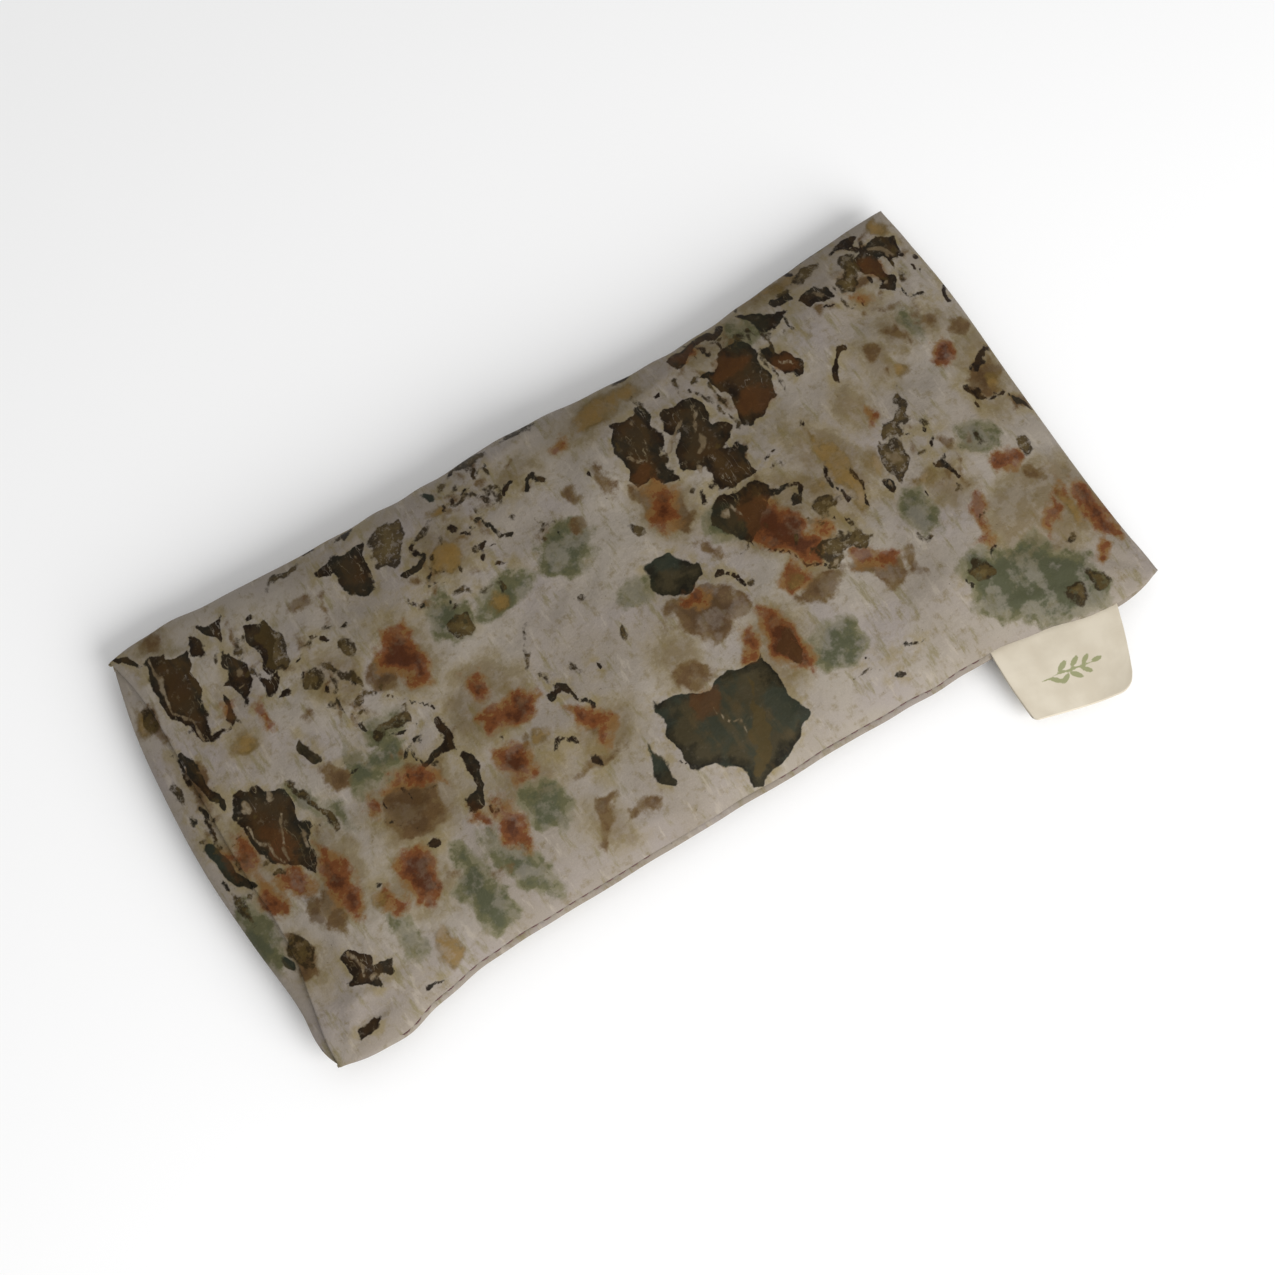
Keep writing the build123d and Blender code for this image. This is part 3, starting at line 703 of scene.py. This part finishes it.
# The washes over the plain silk: whether they run in streaks, their noise, the step of it that shows them, how
# strong they are, and their tone
WASHES = [
    (False, (0.055, 2, 0.5, 40), (0.45, 0.7), 0.7, seen(143, 134, 129)),
    (False, (0.34, 5, 0.65, 47), (0.5, 0.72), 0.65, seen(110, 96, 62)),
    (True, (0.42, 5, 0.62, 51), (0.54, 0.7), 0.6, seen(110, 100, 58)),
    (True, (0.5, 4, 0.6, 77), (0.56, 0.7), 0.55, seen(164, 154, 140)),
    (False, GRAIN, (0.35, 0.75), 0.16, seen(176, 166, 150)),
]
# How much of a cool tint and of a streaky veil each dark leaf takes, and the veil's tone
DARK_LEAVES = {"leaf": (0.7, 0.4, seen(82, 66, 40)), "brown": (0.25, 0.6, seen(66, 48, 21))}
# The marks that show through a dark leaf: how much, and the tone that they give it
SHOWS_THROUGH = {"olive": (0.6, seen(74, 60, 30)), "cool": (0.35, seen(46, 50, 36)), "rust": (0.55, seen(84, 52, 25))}


def plain_silk(n, flat, streaks):
    """The silk between the marks: a slow tone, the washes, and a warm halo around the dark leaves."""
    colour = n.mix(n.step(n.noise(flat, 0.03, 3, 0.5, 7), 0.35, 0.65), seen(136, 126, 114), seen(149, 140, 128))
    for streaky, noise, (low, high), strong, tone in WASHES:
        colour = n.mix(n.step(n.noise(streaks if streaky else flat, *noise), low, high, 0, strong), colour, tone)
    near_leaf = n.maths("MAXIMUM", n.field("brown"), n.field("leaf"))
    halo = n.times(n.step(near_leaf, -3.2, -0.4), n.step(n.noise(flat, 0.22, 4, 0.6, 66), 0.42, 0.6))
    return n.mix(n.times(halo, 0.55), colour, seen(128, 112, 66))


def dark_leaf(n, flat, streaks, name, seed, pigment, masks):
    """A dark leaf's inside, tinted, veiled and coloured by the marks under it."""
    tint, veil, veil_tone = DARK_LEAVES[name]
    pigment = n.mix(n.step(n.noise(flat, 0.1, 4, 0.6, 71 + seed), 0.46, 0.6, 0, tint), pigment, seen(42, 48, 38))
    pigment = n.mix(n.step(n.noise(streaks, 0.2, 4, 0.6, 83 + seed), 0.52, 0.66, 0, veil), pigment, veil_tone)
    for under, (strong, tone) in SHOWS_THROUGH.items():
        pigment = n.mix(n.times(masks[under], strong), pigment, tone)
    return pigment


def unscratched(n, flat, streaks):
    """1 except along the thin lines where a brown leaf lets the cloth show."""
    line = n.maths("ABSOLUTE", n.centred(n.noise(streaks, 0.4, 3, 0.5, 36)))
    where = n.step(n.noise(flat, 0.16, 2, 0.5, 44), 0.52, 0.58)
    return n.maths("SUBTRACT", 1.0, n.times(n.times(n.step(line, 0.002, 0.01, 1, 0), where), 0.5))


def printed_silk():
    """Silk with a ragged leaf print: each colour's edge is broken by noise, and its inside is mottled."""
    n = Nodes("printed_silk")
    flat = n.place()
    streaks = n.add("ShaderNodeMapping", Vector=flat, Rotation=(0, 0, 0.9), Scale=(1.0, 0.28, 1.0)).outputs[0]
    colour = plain_silk(n, flat, streaks)
    masks = {}
    for seed, (name, (rim, body, heart, ragged, soft, broken, cover)) in enumerate(PRINT_TONES.items()):
        edge = n.noise(flat, 0.55, 7, 0.66, 11 * seed + 3)
        depth = n.maths("ADD", n.field(name), n.times(n.centred(edge), 2.6 * ragged))
        masks[name] = n.step(depth, -1.2 * soft, 0.6 * soft)
        # Crisp colours are broken by small holes, soft ones by clouds
        *kind, width = (0.6, 6, 0.72, 0.06) if soft < 0.5 else (0.2, 4, 0.6, 0.14)
        holes = n.noise(flat, *kind, 17 * seed + 5)
        kept = n.step(holes, 0.34 + broken * 0.2, 0.34 + broken * 0.2 + width, 1 - broken, 1)
        inner = n.maths("ADD", depth, n.times(n.centred(n.noise(flat, 0.26, 5, 0.66, 23 * seed + 9)), 9.0))
        pigment = n.mix(n.step(inner, 0.0, 0.9), rim, body)
        pigment = n.mix(n.step(inner, 1.0, 3.2), pigment, heart)
        if name in DARK_LEAVES:
            pigment = dark_leaf(n, flat, streaks, name, seed, pigment, masks)
        if name == "brown":
            kept = n.times(kept, unscratched(n, flat, streaks))
        colour = n.mix(n.times(n.times(masks[name], kept), cover), colour, pigment)
    specks = n.noise(flat, 1.0, 4, 0.7, 60)
    colour = n.mix(n.step(specks, 0.66, 0.72, 0, 0.6), colour, seen(62, 46, 26))
    weave = n.add("ShaderNodeTexWave", {"bands_direction": "Y"}, Vector=flat, Scale=1.6, Distortion=2.0, Detail=2.0)
    normal = n.bump(n.noise(flat, *GRAIN), 0.00012, 0.3)
    normal = n.bump(weave.outputs["Fac"], 0.00004, 0.3, normal)
    normal = n.bump(n.noise(n.swirl(flat, 0.12, 5.0), 0.5, 5, 0.62, 90), 0.0009, 0.32, normal)
    rough = n.step(n.noise(flat, 0.2, 3, 0.6, 33), 0.3, 0.7, 0.5, 0.62)
    return n.finish(Base_Color=colour, Roughness=rough, Normal=normal, Specular_IOR_Level=0.06)


def thread(name, dark, light):
    """Twisted sewing thread."""
    n = Nodes(name)
    where = n.add("ShaderNodeTexCoord").outputs["Object"]
    twist = n.add("ShaderNodeTexWave", {"bands_direction": "DIAGONAL"}, Vector=where, Scale=900.0, Distortion=1.0)
    colour = n.mix(twist.outputs["Fac"], dark, light)
    normal = n.bump(twist.outputs["Fac"], 0.00008, 0.6)
    return n.finish(Base_Color=colour, Roughness=0.6, Normal=normal, Sheen_Weight=0.2)


def cotton():
    """Plain-weave cotton for the insert."""
    n = Nodes("cotton")
    flat = n.place()
    warp = n.add("ShaderNodeTexWave", {"bands_direction": "X"}, Vector=flat, Scale=0.75, Distortion=0.6, Detail=1.0)
    weft = n.add("ShaderNodeTexWave", {"bands_direction": "Y"}, Vector=flat, Scale=0.75, Distortion=0.6, Detail=1.0)
    weave = n.maths("MAXIMUM", warp.outputs["Fac"], weft.outputs["Fac"])
    slub = n.noise(flat, 0.25, 4, 0.6, 5)
    colour = n.mix(n.step(slub, 0.3, 0.7), linear(214, 205, 186), linear(232, 226, 211))
    flecks = n.noise(flat, 1.4, 3, 0.6, 12)
    colour = n.mix(n.step(flecks, 0.7, 0.76, 0, 0.5), colour, linear(150, 128, 96))
    colour = n.mix(n.step(weave, 0.0, 1.0, 0.16, 0.0), colour, linear(150, 140, 120))
    seeds = n.noise(flat, 0.3, 2, 0.5, 21)
    normal = n.bump(seeds, 0.0012, 0.18)
    normal = n.bump(weave, 0.0001, 0.5, normal)
    return n.finish(Base_Color=colour, Roughness=0.85, Normal=normal, Sheen_Weight=0.3, Sheen_Roughness=0.5)


def ribbon():
    """Soft cream ribbon with a fine rib and a small printed sprig."""
    n = Nodes("ribbon")
    flat = n.place()
    rib = n.add("ShaderNodeTexWave", {"bands_direction": "Y"}, Vector=flat, Scale=1.5, Distortion=0.5, Detail=1.0)
    tone = n.noise(flat, 0.12, 3, 0.5, 3)
    colour = n.mix(n.step(tone, 0.3, 0.7), linear(190, 180, 161), linear(202, 193, 175))
    colour = n.mix(n.step(rib.outputs["Fac"], 0, 1, 0.1, 0), colour, linear(158, 144, 120))
    ink_edge = n.times(n.centred(n.noise(flat, 2.2, 3, 0.6, 9)), 0.35)
    ink = n.step(n.maths("ADD", n.field("sprig"), ink_edge), -0.07, 0.07, 0, 0.8)
    colour = n.mix(ink, colour, linear(118, 124, 72))
    normal = n.bump(rib.outputs["Fac"], 0.00005, 0.5)
    return n.finish(Base_Color=colour, Roughness=0.6, Normal=normal, Sheen_Weight=0.2, Specular_IOR_Level=0.3)


def seeds(name, dark, light, scale):
    """Loose seeds or buds."""
    n = Nodes(name)
    where = n.add("ShaderNodeTexCoord").outputs["Object"]
    cells = n.add("ShaderNodeTexVoronoi", Vector=where, Scale=scale)
    colour = n.mix(n.step(cells.outputs["Distance"], 0.1, 0.7), light, dark)
    normal = n.bump(n.step(cells.outputs["Distance"], 0, 0.8, 1, 0), 0.001, 0.8)
    return n.finish(Base_Color=colour, Roughness=0.4, Normal=normal)


def pale_floor():
    """A matte white floor."""
    n = Nodes("pale_floor")
    return n.finish(Base_Color=(0.9, 0.9, 0.9, 1), Roughness=0.9, Specular_IOR_Level=0.06)


SILK = printed_silk()
BROWN_THREAD = thread("brown_thread", linear(52, 26, 24), linear(92, 52, 44))
CREAM_THREAD = thread("cream_thread", linear(205, 196, 176), linear(236, 230, 214))
COTTON = cotton()
RIBBON = ribbon()


# Cover ----------------------------------------------------------------------------------------------------------


def spread(low, high, count, power=1.0):
    """Places from low to high that crowd towards both ends, as the section curves more there."""
    even = np.sin(np.linspace(-np.pi / 2, np.pi / 2, count))
    share = (1 - power) * np.linspace(-1, 1, count) + power * even
    return low + (high - low) * (share + 1) / 2


def panel_grid(rows, columns, left, right):
    """Places in plan over the cover, with left and right giving the end places for each share across."""
    along = spread(0, 1, rows, 0.7)[:, None]
    across = spread(-1, 1, columns, 0.93)[None, :]
    y = HALF_WIDTH * np.repeat(across, rows, axis=0)
    for _ in range(4):
        start, end = left(y), right(y)
        x = start + (end - start) * along
        far, near = far_seam(x), -near_seam(x)
        y = near + (far - near) * (across + 1) / 2
    return x, y


def front_panel():
    """The printed top panel. Its mouth edge is folded under into a hem, and its sewn edges turn in."""
    x, y = panel_grid(350, 176, lambda v: -through(HEM_EDGE, v), lambda v: through(CLOSED_SEAM, v))
    face = front_surface(x, y)
    out = normals(face)
    edge, edge_out = face[0], out[0]
    inward = face[7] - face[0]
    inward /= np.linalg.norm(inward, axis=1, keepdims=True)
    radius = HEM_THICK / 2
    turned = []
    for step in range(1, 7):
        angle = math.pi * step / 6
        turned.append(edge - edge_out * radius * (1 - math.cos(angle)) - inward * radius * math.sin(angle))
    for depth in (1.2, 3, 5, 7, 9, 11, 13):
        k = int(np.argmin(np.abs(x[:, 0] - x[0, 0] - depth)))
        turned.append(face[k] - out[k] * HEM_THICK)
    places = np.concatenate([np.array(turned[::-1]), face])
    piece = grid_object("cover_front", settle(places), SILK, cloth_fields(places))
    thicken(piece, 0.3, levels=0)
    return piece


BACK_PROUD = 1.3  # how far the back panel bulges past the front panel's edge


def back_panel():
    """The bottom panel. It stands a little proud of the front panel's edge along the seams."""
    x, y = panel_grid(110, 70, lambda v: -through(OPEN_FOLD, v) + 1.0, lambda v: through(CLOSED_SEAM, v))
    s, t = shares(x, y)
    places = back_surface(x, y)
    side = np.sign(y) * smooth_step(0.8, 1, np.abs(t))
    below = SEAM_Z - places[..., 2]
    bulge = BACK_PROUD * np.clip(1 - ((below - 1.6) / 5) ** 2, 0, 1) * smooth_step(0, 1.2, below)
    places[..., 1] += side * (bulge - groove(below))
    places[..., 0] += bulge * smooth_step(0.9, 1, s)
    places[..., 2] += 0.25 * ripple(x, y, 22, 71) * smooth_step(1.5, 4, places[..., 2])
    fields = cloth_fields(places, flip=-1.0, move=(4.0, 6.0))
    piece = grid_object("cover_back", settle(places)[:, ::-1], SILK, {k: v[:, ::-1] for k, v in fields.items()})
    thicken(piece, 0.3)
    return piece


def flap_depth(x):
    """How far under the front panel's face the flap lies: below the hem at the mouth, and closer further in."""
    return HEM_THICK + FLAP_GAP - FLAP_RISE * smooth_step(12, 24, x + HALF_LENGTH)


def tuck_flap():
    """The band of the same silk that wraps the open end and tucks in under the front panel."""
    reach = FLAP_REACH - HALF_LENGTH
    x, y = panel_grid(64, 78, lambda v: -through(OPEN_FOLD, v), lambda v: 0 * v + reach)
    y = y * 0.985
    face = front_surface(x, y)
    places = face - normals(face) * flap_depth(x)[..., None]
    below = []
    for k in (5, 3, 1):
        lower = back_surface(x[k], y[k])
        lower[..., 0] += 0.5
        below.append(lower)
    places = np.concatenate([np.array(below), places[1:]])
    fields = cloth_fields(places)
    piece = grid_object("tuck_flap", settle(places), SILK, fields)
    thicken(piece, 0.3)
    return piece


def stitch_mesh(name, routes, material, radius=0.27, sides=6):
    """Short rounded bars of thread, each bent along its own few places."""
    shape = [0.35, 1.0, 1.0, 1.0, 0.35]
    points, quads = [], []
    for route in routes:
        route = np.asarray(route)
        first = len(points)
        for k, place in enumerate(route):
            ahead = route[min(k + 1, len(route) - 1)] - route[max(k - 1, 0)]
            ahead = ahead / np.linalg.norm(ahead)
            side = np.cross(ahead, (0, 0, 1.0))
            side /= np.linalg.norm(side)
            up = np.cross(side, ahead)
            for j in range(sides):
                a = 2 * math.pi * j / sides
                points.append(place + radius * shape[k] * (side * math.cos(a) + up * math.sin(a)))
        for k in range(len(route) - 1):
            for j in range(sides):
                a, b = first + k * sides + j, first + k * sides + (j + 1) % sides
                quads.append((a, b, b + sides, a + sides))
        quads.append(tuple(first + j for j in reversed(range(sides))))
        quads.append(tuple(first + (len(route) - 1) * sides + j for j in range(sides)))
    mesh = bpy.data.meshes.new(name)
    mesh.from_pydata((np.array(points) * MM).tolist(), [], quads)
    mesh.polygons.foreach_set("use_smooth", [True] * len(mesh.polygons))
    mesh.materials.append(material)
    piece = bpy.data.objects.new(name, mesh)
    bpy.context.scene.collection.objects.link(piece)
    return piece


STITCH_PITCH = 3.3
STITCH_LENGTH = 2.5
BAR = np.linspace(-0.5, 0.5, 5)  # the places of one stitch, in shares of its length


def seam_stitches(name, side, shown):
    """Stitches along a long seam. Where shown is small they lie deeper in the seam's groove."""
    routes = []
    for x in np.arange(-104, 104, STITCH_PITCH):
        at = x + BAR * STITCH_LENGTH
        y = far_seam(at) if side > 0 else -near_seam(at)
        out = 0.65 * shown(x) - 0.9
        dip = 0.25 * (2 * BAR) ** 2
        routes.append(settle(np.stack([at, y + side * (out - dip), SEAM_Z + 0.15 * shown(x) - dip * 0.5], axis=-1)))
    return stitch_mesh(name, routes, BROWN_THREAD)


def end_stitches(name):
    """Stitches along the closed end."""
    routes = []
    for y in np.arange(-53, 53, STITCH_PITCH):
        at = y + BAR * STITCH_LENGTH
        x = through(CLOSED_SEAM, at) - 0.25 - 0.25 * (2 * BAR) ** 2
        routes.append(settle(np.stack([x, at, np.full(5, SEAM_Z)], axis=-1)))
    return stitch_mesh(name, routes, BROWN_THREAD)


def flap_hem_stitches(name):
    """The flap's hem stitches, which lie under the front panel."""
    routes = []
    row_x = np.mean([v[0] for v in node_box("flap_hem_thread")])
    for y in np.arange(-44, 44, STITCH_PITCH):
        at = y + BAR * STITCH_LENGTH
        x = np.full((3, 5), row_x) + np.array([[-1.0], [0.0], [1.0]])
        face = front_surface(x, np.repeat(at[None, :], 3, axis=0))
        routes.append(settle(face - normals(face) * flap_depth(x)[..., None])[1])
    return stitch_mesh(name, routes, BROWN_THREAD, 0.18)


# Label ----------------------------------------------------------------------------------------------------------

SPRIG_LEAVES = [(-4.6, -1.2, 3.4, 1.3, 150), (-2.2, -1.6, 3.4, 1.3, 215), (-1.8, 1.6, 3.6, 1.4, 35),
                (0.8, -1.5, 3.6, 1.4, -35), (1.4, 1.7, 3.4, 1.3, 40), (3.8, -1.2, 3.2, 1.2, -32),
                (4.2, 1.4, 3.0, 1.2, 38), (6.9, 0.4, 3.0, 1.2, 5)]
SPRIG_STEM = ([(-8, -0.6), (-3, 0.1), (2, 0.1), (6, 0.3)], 0.2)


def sprig_field(u, v):
    """Depth inside a small sprig of leaves drawn about the middle of the label's face."""
    depth = SPRIG_STEM[1] - distance_to_line(u, v, SPRIG_STEM[0])[0]
    for cx, cy, long, wide, turn in SPRIG_LEAVES:
        c, s = math.cos(math.radians(turn)), math.sin(math.radians(turn))
        along, across = (u - cx) * c + (v - cy) * s, (v - cy) * c - (u - cx) * s
        pointed = np.hypot(along / (long / 2), across / (wide / 2) * (1 + 0.5 * (along / long) ** 2))
        depth = np.maximum(depth, (1 - pointed) * wide / 2)
    return depth


# The label's four corners in plan: left and right at the seam, left and right at the tip
LABEL_PLAN = [(66.0, -51.7), (98.0, -57.6), (66.3, -70.6), (90.2, -76.6)]
LABEL_WIDE = 31.0
LABEL_LONG = 20.5  # how far it stands out of the seam
LABEL_FOLD = 0.8  # how thick the fold at the tip stands
LABEL_IN = 4.5  # how far its ends reach into the seam


def label():
    """A ribbon folded in half: it leaves the seam, lifts a little, and comes back underneath."""
    seam_left, seam_right, tip_left, tip_right = np.array(LABEL_PLAN)
    wide, long = LABEL_WIDE, LABEL_LONG
    fold = LABEL_FOLD / long
    inside = -LABEL_IN / long
    tip = 1 - fold
    run = np.concatenate([np.linspace(inside, tip, 46), np.full(8, tip), np.linspace(tip, inside, 24)])
    turn = np.concatenate([np.zeros(46), np.linspace(0, math.pi, 10)[1:9], np.full(24, math.pi)])
    run, turn = run[:, None], turn[:, None]
    u = np.linspace(0, 1, 60)[None, :]
    share = np.clip(run, 0, 1)
    rounding = 1
    for corner, radius in ((1 - u, 5.0), (u, 1.2)):
        past = np.clip(1 - corner * wide / radius, 0, 1)
        rounding = rounding - radius / long * (1 - np.sqrt(1 - past**2)) * 0.8
    v = run * rounding + fold * np.sin(turn) / 2
    bow = 0.012 * np.sin(np.pi * share) * (2 * u - 1)  # the long sides aren't quite straight
    plan = [
        (1 - v) * ((1 - u) * seam_left[k] + u * seam_right[k]) + v * ((1 - u) * tip_left[k] + u * tip_right[k])
        for k in (0, 1)
    ]
    x = plan[0] + wide * bow
    y = plan[1] - 0.5 * np.sin(np.pi * u) * share
    curl = 1.5 * share**2 * smooth_step(0.6, 1.0, u) - 0.4 * share**2 * (1 - u)
    wave = 0.6 * share * np.sin(2.6 * u + 0.4) + curl
    droop = long * share * math.tan(math.radians(7.5))
    leaf = LABEL_FOLD / 2 * np.cos(turn) * (0.4 + 0.6 * np.clip(share * 3, 0, 1))
    places = np.stack([x, y, SEAM_Z - 0.1 - droop + wave + leaf], axis=-1)
    ink = sprig_field((u - 0.5) * wide + 0 * run, long * (0.52 - run) + 0 * u)
    fields = {
        "sprig": np.where(turn < 0.1, ink, -1.0),
        "flat": np.stack([u * wide + 0 * run, run * long + turn * 8 + 0 * u, 0 * u + 0 * run], axis=-1),
    }
    piece = grid_object("label", places, RIBBON, fields)
    thicken(piece, 0.22)
    return piece


# Insert ---------------------------------------------------------------------------------------------------------


INSERT_WAIST = 47.0  # half the bag's width in its middle


def insert_bag():
    """The cotton bag: two crowned panels that meet at a sewn ridge, with a flat lip at the filling end."""
    low, high = node_box("insert_top_panel")
    floor = node_box("insert_bottom_panel")[0][2]
    bag_left = node_box("insert_closing_thread")[1][0] + 1.0
    right = high[0]
    half = (right - bag_left) / 2
    middle = (right + bag_left) / 2
    corner = high[1]
    top = high[2] - SEAM_Z
    rows, columns = 120, 60
    s = spread(-1, 1, rows, 0.95)[:, None]
    t = spread(-1, 1, columns, 0.95)[None, :]
    x = middle + half * s + 0 * t
    width = INSERT_WAIST + (corner - INSERT_WAIST) * (x / right) ** 2
    y = width * t
    full = fullness(s) * fullness(t)
    edge_fade = smooth_step(0, 0.4, full)
    puckers = 0.25 * np.sin(x * 2 * np.pi / 8 + ripple(x, y, 30, 4)) * np.exp(-(((1 - np.abs(t)) * 50 / 5) ** 2))
    lump = 0.18 * ripple(x, y, 12, 8) + 0.12 * ripple(x, y, 5, 9)
    corners = np.exp(-(((np.abs(s) - 0.83) / 0.12) ** 2) - ((np.abs(t) - 0.87) / 0.11) ** 2)
    rim = np.maximum(smooth_step(0.74, 0.86, np.abs(s)), smooth_step(0.76, 0.88, np.abs(t)))
    upper = SEAM_Z + 0.25 + top * full + (puckers + lump - 0.25 + 0.4 * rim) * edge_fade + 0.5 * corners
    free = SEAM_Z - 0.25 - (BELLY - 1.6) * full
    soft = 0.8
    lower = floor + soft * np.logaddexp(0, (free - floor) / soft) * smooth_step(-3, 1.5, free - floor)
    over = np.stack([x, y, upper], axis=-1)
    under = np.stack([x, y, lower], axis=-1)
    ring_over = np.concatenate([over[0, :], over[1:, -1], over[-1, -2::-1], over[-2:0:-1, 0]])
    ring_under = np.concatenate([under[0, :], under[1:, -1], under[-1, -2::-1], under[-2:0:-1, 0]])
    count = rows * columns
    index = np.arange(count).reshape(rows, columns)
    ring = np.concatenate([index[0, :], index[1:, -1], index[-1, -2::-1], index[-2:0:-1, 0]])
    ridge = (ring_over + ring_under) / 2
    ridge[:, 0] += 0.2 * np.sign(ridge[:, 0]) * (np.abs(ridge[:, 0]) > right - 2)
    ridge[:, 1] *= 1.004
    points = np.concatenate([over.reshape(-1, 3), under.reshape(-1, 3), ridge])
    quads = [tuple(q) for q in grid_quads(index).tolist()]
    quads += [tuple(count + v for v in reversed(q)) for q in quads]
    size = len(ring)
    for k in range(size):
        a, b = k, (k + 1) % size
        quads.append((int(ring[b]), int(ring[a]), 2 * count + a, 2 * count + b))
        quads.append((2 * count + b, 2 * count + a, count + int(ring[a]), count + int(ring[b])))
    mesh = bpy.data.meshes.new("insert_bag")
    mesh.from_pydata((points * MM).tolist(), [], quads)
    attribute = mesh.attributes.new("flat", "FLOAT_VECTOR", "POINT")
    flat = points.copy()
    flat[:, 2] = 0
    attribute.data.foreach_set("vector", flat.astype(np.float32).ravel())
    mesh.polygons.foreach_set("use_smooth", [True] * len(mesh.polygons))
    mesh.materials.append(COTTON)
    piece = bpy.data.objects.new("insert_bag", mesh)
    bpy.context.scene.collection.objects.link(piece)
    thicken(piece, 0)
    return piece


def insert_lip():
    """The flat double edge that the bag is filled through and topstitched along."""
    thread_low, thread_high = node_box("insert_closing_thread")
    middle = (thread_low[0] + thread_high[0]) / 2
    half_long = node_box("insert_end_thread")[1][1] + 1
    along = np.linspace(-1, 1, 90)[:, None]
    section = [(2.4, 0.5), (1.2, 0.52), (0, 0.46), (-1.2, 0.52), (-1.7, 0.42), (-1.9, 0), (-1.7, -0.42),
               (-1.2, -0.5), (0, -0.46), (1.2, -0.5), (2.4, -0.5)]
    across = np.array([p[0] for p in section])[None, :]
    high = np.array([p[1] for p in section])[None, :]
    y = half_long * along + 0 * across
    wave = 0.16 * ripple(y, 0, 14, 15)
    x = middle + across + 0.12 * ripple(y, 0, 20, 17)
    places = np.stack([x, y, SEAM_Z + high + wave], axis=-1)
    piece = grid_object("insert_lip", places, COTTON, {"flat": np.stack([x, y, 0 * x], axis=-1)})
    thicken(piece, 0)
    return piece


# Put the pieces in place ----------------------------------------------------------------------------------------


def place(piece, body, slot_name, *nodes):
    """Rides a piece on a body, in place of the CAD nodes that it stands for."""
    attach(piece, body)
    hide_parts(*nodes)
    return piece


front = front_panel()
place(front, "cover", "printed_silk", "cover_front_panel")
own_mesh(front)

back = back_panel()
place(back, "cover", "printed_silk", "cover_back_panel")

flap = tuck_flap()
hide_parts("cover_tuck_flap")
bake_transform(flap)

near_thread = seam_stitches("seam_stitches_label_edge", -1, lambda x: 1.0 if -95 < x < -26 or 8 < x < 62 else 0.1)
far_thread = seam_stitches("seam_stitches_plain_edge", 1, lambda x: 0.1)
end_thread = end_stitches("seam_stitches_closed_end")
flap_thread = flap_hem_stitches("flap_hem_stitches")
place(near_thread, "cover", "brown_thread", "seam_thread_label_edge")
place(far_thread, "cover", "brown_thread", "seam_thread_plain_edge")
place(end_thread, "cover", "brown_thread", "seam_thread_closed_end")
place(flap_thread, "tuck_flap", "brown_thread", "flap_hem_thread")

tag = label()
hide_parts("label_flap", "label_ends")
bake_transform(tag)

bag = insert_bag()
place(bag, "insert", "cotton", "insert_top_panel", "insert_bottom_panel")
place(insert_lip(), "insert", "cotton")

for node, material in {
    "insert_side_threads": CREAM_THREAD,
    "insert_end_thread": CREAM_THREAD,
    "insert_closing_thread": CREAM_THREAD,
    "flaxseed_fill": seeds("flaxseed", linear(70, 40, 20), linear(140, 90, 48), 420.0),
    "lavender_buds": seeds("lavender", linear(84, 74, 110), linear(136, 124, 160), 900.0),
}.items():
    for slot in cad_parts[node].material_slots:
        slot.material = material


# Stage: floor, light and camera ---------------------------------------------------------------------------------


def soft_light(name, place_at, size, power, aim=(0, 0, 0.01)):
    """A disk light that faces the place it's aimed at."""
    light = bpy.data.lights.new(name, "AREA")
    light.shape = "DISK"
    light.size = size
    light.energy = power
    lamp = bpy.data.objects.new(name, light)
    lamp.location = place_at
    lamp.rotation_euler = (Vector(aim) - Vector(place_at)).to_track_quat("-Z", "Y").to_euler()
    bpy.context.scene.collection.objects.link(lamp)


def stage():
    """The floor, an even sky and one window-like light."""
    size = 6.0
    mesh = bpy.data.meshes.new("floor")
    mesh.from_pydata([(-size, -size, 0), (size, -size, 0), (size, size, 0), (-size, size, 0)], [], [(0, 1, 2, 3)])
    mesh.materials.append(pale_floor())
    floor = bpy.data.objects.new("floor", mesh)
    bpy.context.scene.collection.objects.link(floor)
    world = bpy.data.worlds.new("studio")
    world.use_nodes = True
    background = world.node_tree.nodes["Background"]
    background.inputs["Color"].default_value = (1, 1, 1, 1)
    background.inputs["Strength"].default_value = 0.6
    bpy.context.scene.world = world
    soft_light("window", (0.2, -0.82, 0.53), 0.8, 11.0)


def camera():
    """A camera at the photograph's viewing angle."""
    azimuth, elevation, distance = math.radians(-31.8), math.radians(71.3), 0.6
    aim = Vector((-1.9, -5.0, SEAM_Z)) * MM
    back = Vector((math.sin(azimuth) * math.cos(elevation), -math.cos(azimuth) * math.cos(elevation),
                   math.sin(elevation)))
    data = bpy.data.cameras.new("camera")
    data.lens = 72.5
    data.sensor_width = 36.0
    made = bpy.data.objects.new("camera", data)
    made.rotation_mode = "QUATERNION"
    made.location = aim + back * distance
    made.rotation_quaternion = (-back).to_track_quat("-Z", "Y")
    bpy.context.scene.collection.objects.link(made)
    bpy.context.scene.camera = made


stage()
camera()
bpy.context.scene.view_settings.view_transform = "Standard"
